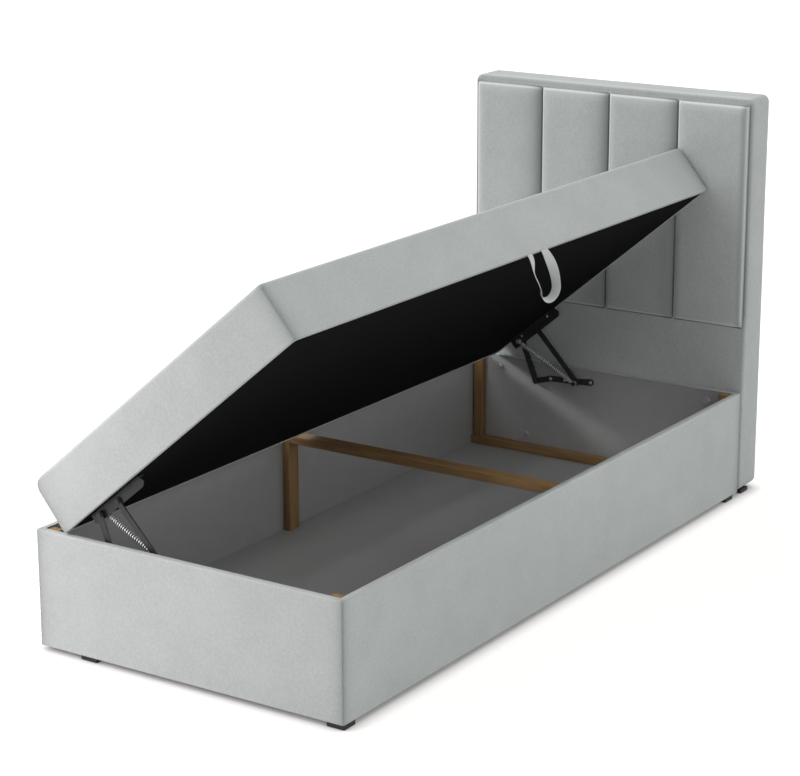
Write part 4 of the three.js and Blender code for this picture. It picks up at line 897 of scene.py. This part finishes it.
def foam_material(name, dark, light):
    """Open cells: small round pores in a pale matt body."""
    material, tree = new_material(name)
    cells = add(tree, "ShaderNodeTexVoronoi", {"Vector": place_of(tree), "Scale": 450})
    tone = add(tree, "ShaderNodeMix", {"Factor": cells, "A": dark, "B": light}, data_type="RGBA")
    bump = add(tree, "ShaderNodeBump", {"Height": cells, "Strength": 0.5, "Distance": 0.3 * MM})
    return finished(material, {"Base Color": tone, "Normal": bump, "Roughness": 0.95})


velvet = velvet_material("velour_cut_pile")
nonwoven = nonwoven_material("spunbond_cloth_black")
laminate = laminate_material("melamine_faced_board")
pine_across = pine_material("planed_pine_along_x", (0.05, 1, 1))
pine_upright = pine_material("planed_pine_upright", (1, 1, 0.05))
coated_steel = coated_steel_material("powder_coated_steel_black")
zinc = zinc_material("zinc_plated_steel", "#c4c5c5", "#e2e2e1", 0.36)
# Spring wire with painted shade on the inner side of its turns
spring_wire = zinc_material("drawn_spring_wire", "#dcdee0", "#f3f4f5", 0.42, "#141516")
plastic = moulded_plastic_material("moulded_polypropylene_black")
webbing = webbing_material("woven_polyester_webbing")
plywood = plywood_material("rotary_cut_plywood")
foam = foam_material("open_cell_foam", "#cfc6a6", "#ece5cd")
spring_felt = foam_material("needled_felt_white", "#c9c9c6", "#e2e2df")

NODE_MATERIALS = {
    "side_panel": laminate, "foot_panel": laminate, "head_panel": laminate, "floor_panel": laminate,
    "mid_post": pine_upright, "corner_post": pine_upright, "crossbar": pine_across,
    "floor_batten": pine_across, "foot_pad": plastic, "headboard_front_board": plywood,
    "headboard_frame": pine_upright, "joining_bolt": zinc, "base_plate": coated_steel,
    "front_base_pin": coated_steel, "rear_base_pin": coated_steel, "front_arm": coated_steel,
    "front_lid_pin": coated_steel, "rear_arm": coated_steel, "spring_eye": zinc,
    "lid_bracket": coated_steel, "lid_frame": pine_across, "lid_deck": plywood,
    "spring_core": spring_felt, "foam_layer": foam, "lift_spring": spring_wire,
    "box_cover": velvet, "headboard_cover": velvet, "channel_pad": velvet, "lid_cover": velvet,
    "headboard_back_cloth": nonwoven, "underside_cloth": nonwoven, "pull_strap": webbing}


def material_of(node):
    """The material of a CAD node: that of the longest name that its own name starts with."""
    return NODE_MATERIALS[max((stem for stem in NODE_MATERIALS if node.startswith(stem)), key=len)]


for name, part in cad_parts.items():
    part.data.materials.clear()
    part.data.materials.append(material_of(name))


# Soft pieces on their bodies

lid_skin = lid_upholstery(velvet)
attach(lid_skin, "lid")
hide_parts("lid_cover")

lining, lining_cut = underside_cloth(nonwoven)
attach(lining, "lid")
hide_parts("underside_cloth")

box_skin, box_cut = box_upholstery(velvet)
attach(box_skin, "root")
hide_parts("box_cover")

head_skin = headboard_upholstery(velvet)
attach(head_skin, "root")
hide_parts("headboard_cover")

for number in range(1, 5):
    pad = channel(number, velvet)
    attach(pad, "root")
    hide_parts(f"channel_pad_{number}")

back, back_cut = back_lining(nonwoven)
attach(back, "root")
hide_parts("headboard_back_cloth")

strap = pull_strap(webbing)
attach(strap, "pull_strap")
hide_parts("pull_strap")

foot_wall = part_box("foot_panel")[1].y
head_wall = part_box("head_panel")[0].y
for end, wall, inwards in (("foot", foot_wall, 1), ("head", head_wall, -1)):
    coil, start, finish = lift_coil(end, wall, inwards, spring_wire)
    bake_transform(coil)
    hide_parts(f"lift_spring_{end}")
    for kind, places, seat, profile, body in (
            ("bolt", BOLT_HEADS, BOLT_SEAT, BOLT_PROFILE, "root"),
            ("rivet", RIVET_HEADS, RIVET_SEAT, RIVET_PROFILE, "lid")):
        points = [(x, wall + inwards * seat, z) for x, z in places]
        heads = turned_piece(f"{kind}_heads_{end}", np.array(profile) * MM, points, (0, inwards, 0), zinc)
        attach(heads, body)


# Floor, light and camera

def build_floor():
    """A pale floor: it takes light and shadow, and for the camera a warm white glow is added that
    lifts it to plain white, except its deepest shade and a narrow painted contact shadow beside the
    bed, where the glow is weaker the less open the floor is."""
    material, tree = new_material("studio_floor")
    diffuse = add(tree, "ShaderNodeBsdfDiffuse", {"Color": FLOOR_COLOUR})
    # Painted contact shadow: the glow drops where the bed hides the floor
    near = add(tree, "ShaderNodeAmbientOcclusion", {"Distance": CONTACT_REACH})
    strength = add(tree, "ShaderNodeMapRange", {
        "Value": near.outputs["AO"], "From Min": CONTACT_OPENNESS,
        "To Min": CONTACT_GLOW / FLOOR_MIX, "To Max": FLOOR_GLOW / FLOOR_MIX})
    glow = add(tree, "ShaderNodeEmission", {"Strength": strength, "Color": GLOW_COLOUR})
    path = add(tree, "ShaderNodeLightPath").outputs
    seen = add(tree, "ShaderNodeMath", {0: path["Is Camera Ray"], 1: FLOOR_MIX}, operation="MULTIPLY")
    mixed = add(tree, "ShaderNodeMixShader", {0: seen, 1: diffuse, 2: glow})
    add(tree, "ShaderNodeOutputMaterial", {"Surface": mixed})
    corners = [(FLOOR_REACH * a, FLOOR_REACH * b, 0) for a, b in ((-1, -1), (1, -1), (1, 1), (-1, 1))]
    floor = make_mesh("studio_floor", corners, [(0, 1, 2, 3)], material)


def build_world():
    """White light that is stronger from the headboard's end than from the foot end, and plain white
    where the camera or a reflection sees past the bed."""
    world = bpy.data.worlds.new("studio")
    bpy.context.scene.world = world
    tree = empty_tree(world)
    path = add(tree, "ShaderNodeLightPath").outputs
    direction = add(tree, "ShaderNodeTexCoord").outputs["Generated"]
    towards = add(tree, "ShaderNodeVectorMath", {0: direction, 1: WORLD_BRIGHT_SIDE},
                  operation="DOT_PRODUCT")
    level = add(tree, "ShaderNodeMapRange", {
        "Value": towards, "From Min": -1, "To Min": WORLD_LEVELS[0], "To Max": WORLD_LEVELS[1]})
    light = add(tree, "ShaderNodeBackground", {"Strength": level, "Color": "#ffffff"})
    white = add(tree, "ShaderNodeBackground", {"Strength": 1, "Color": "#ffffff"})
    seen = add(tree, "ShaderNodeMath", {0: path["Is Camera Ray"], 1: path["Is Glossy Ray"]},
               operation="MAXIMUM")
    either = add(tree, "ShaderNodeMath", {0: seen, 1: path["Is Transmission Ray"]}, operation="MAXIMUM")
    mixed = add(tree, "ShaderNodeMixShader", {0: either, 1: light, 2: white})
    add(tree, "ShaderNodeOutputWorld", {"Surface": mixed})


def build_light(name, kind, strength, place, target, **settings):
    """A light of one kind with its settings, at its place and turned towards its target."""
    light = bpy.data.lights.new(name, kind)
    light.energy = strength
    for setting, value in settings.items():
        setattr(light, setting, value)
    lamp = bpy.data.objects.new(name, light)
    bpy.context.scene.collection.objects.link(lamp)
    lamp.location = place
    lamp.rotation_euler = (Vector(target) - Vector(place)).to_track_quat("-Z", "Y").to_euler()


def build_camera():
    """The photograph's camera: forward from azimuth and dip, then rolled about it."""
    forward = Vector((-math.sin(CAMERA_AZIMUTH) * math.cos(CAMERA_DIP),
                      math.cos(CAMERA_AZIMUTH) * math.cos(CAMERA_DIP), -math.sin(CAMERA_DIP)))
    level = forward.cross(Vector((0, 0, 1))).normalized()
    up = level.cross(forward)
    right = level * math.cos(CAMERA_ROLL) + up * math.sin(CAMERA_ROLL)
    up = up * math.cos(CAMERA_ROLL) - level * math.sin(CAMERA_ROLL)
    camera = bpy.data.objects.new("camera", bpy.data.cameras.new("camera"))
    camera.data.lens = CAMERA_LENS_MM
    camera.data.sensor_width = SENSOR_MM
    camera.data.clip_end = CAMERA_CLIP_END
    turn = Matrix((right, up, -forward)).transposed().to_4x4()
    camera.matrix_world = Matrix.Translation(CAMERA_PLACE) @ turn
    bpy.context.scene.collection.objects.link(camera)
    bpy.context.scene.camera = camera


build_floor()
build_world()
build_light("side_sun", "SUN", SUN_STRENGTH, SUN_SIDE, (0, 0, 0), angle=SUN_ANGLE)
for name, colour, watts, size, beam, place, target in LAMPS:
    build_light(name, "AREA", watts, place, target, color=colour, size=size, spread=math.radians(beam))
build_camera()
bpy.context.scene.view_settings.view_transform = "Standard"
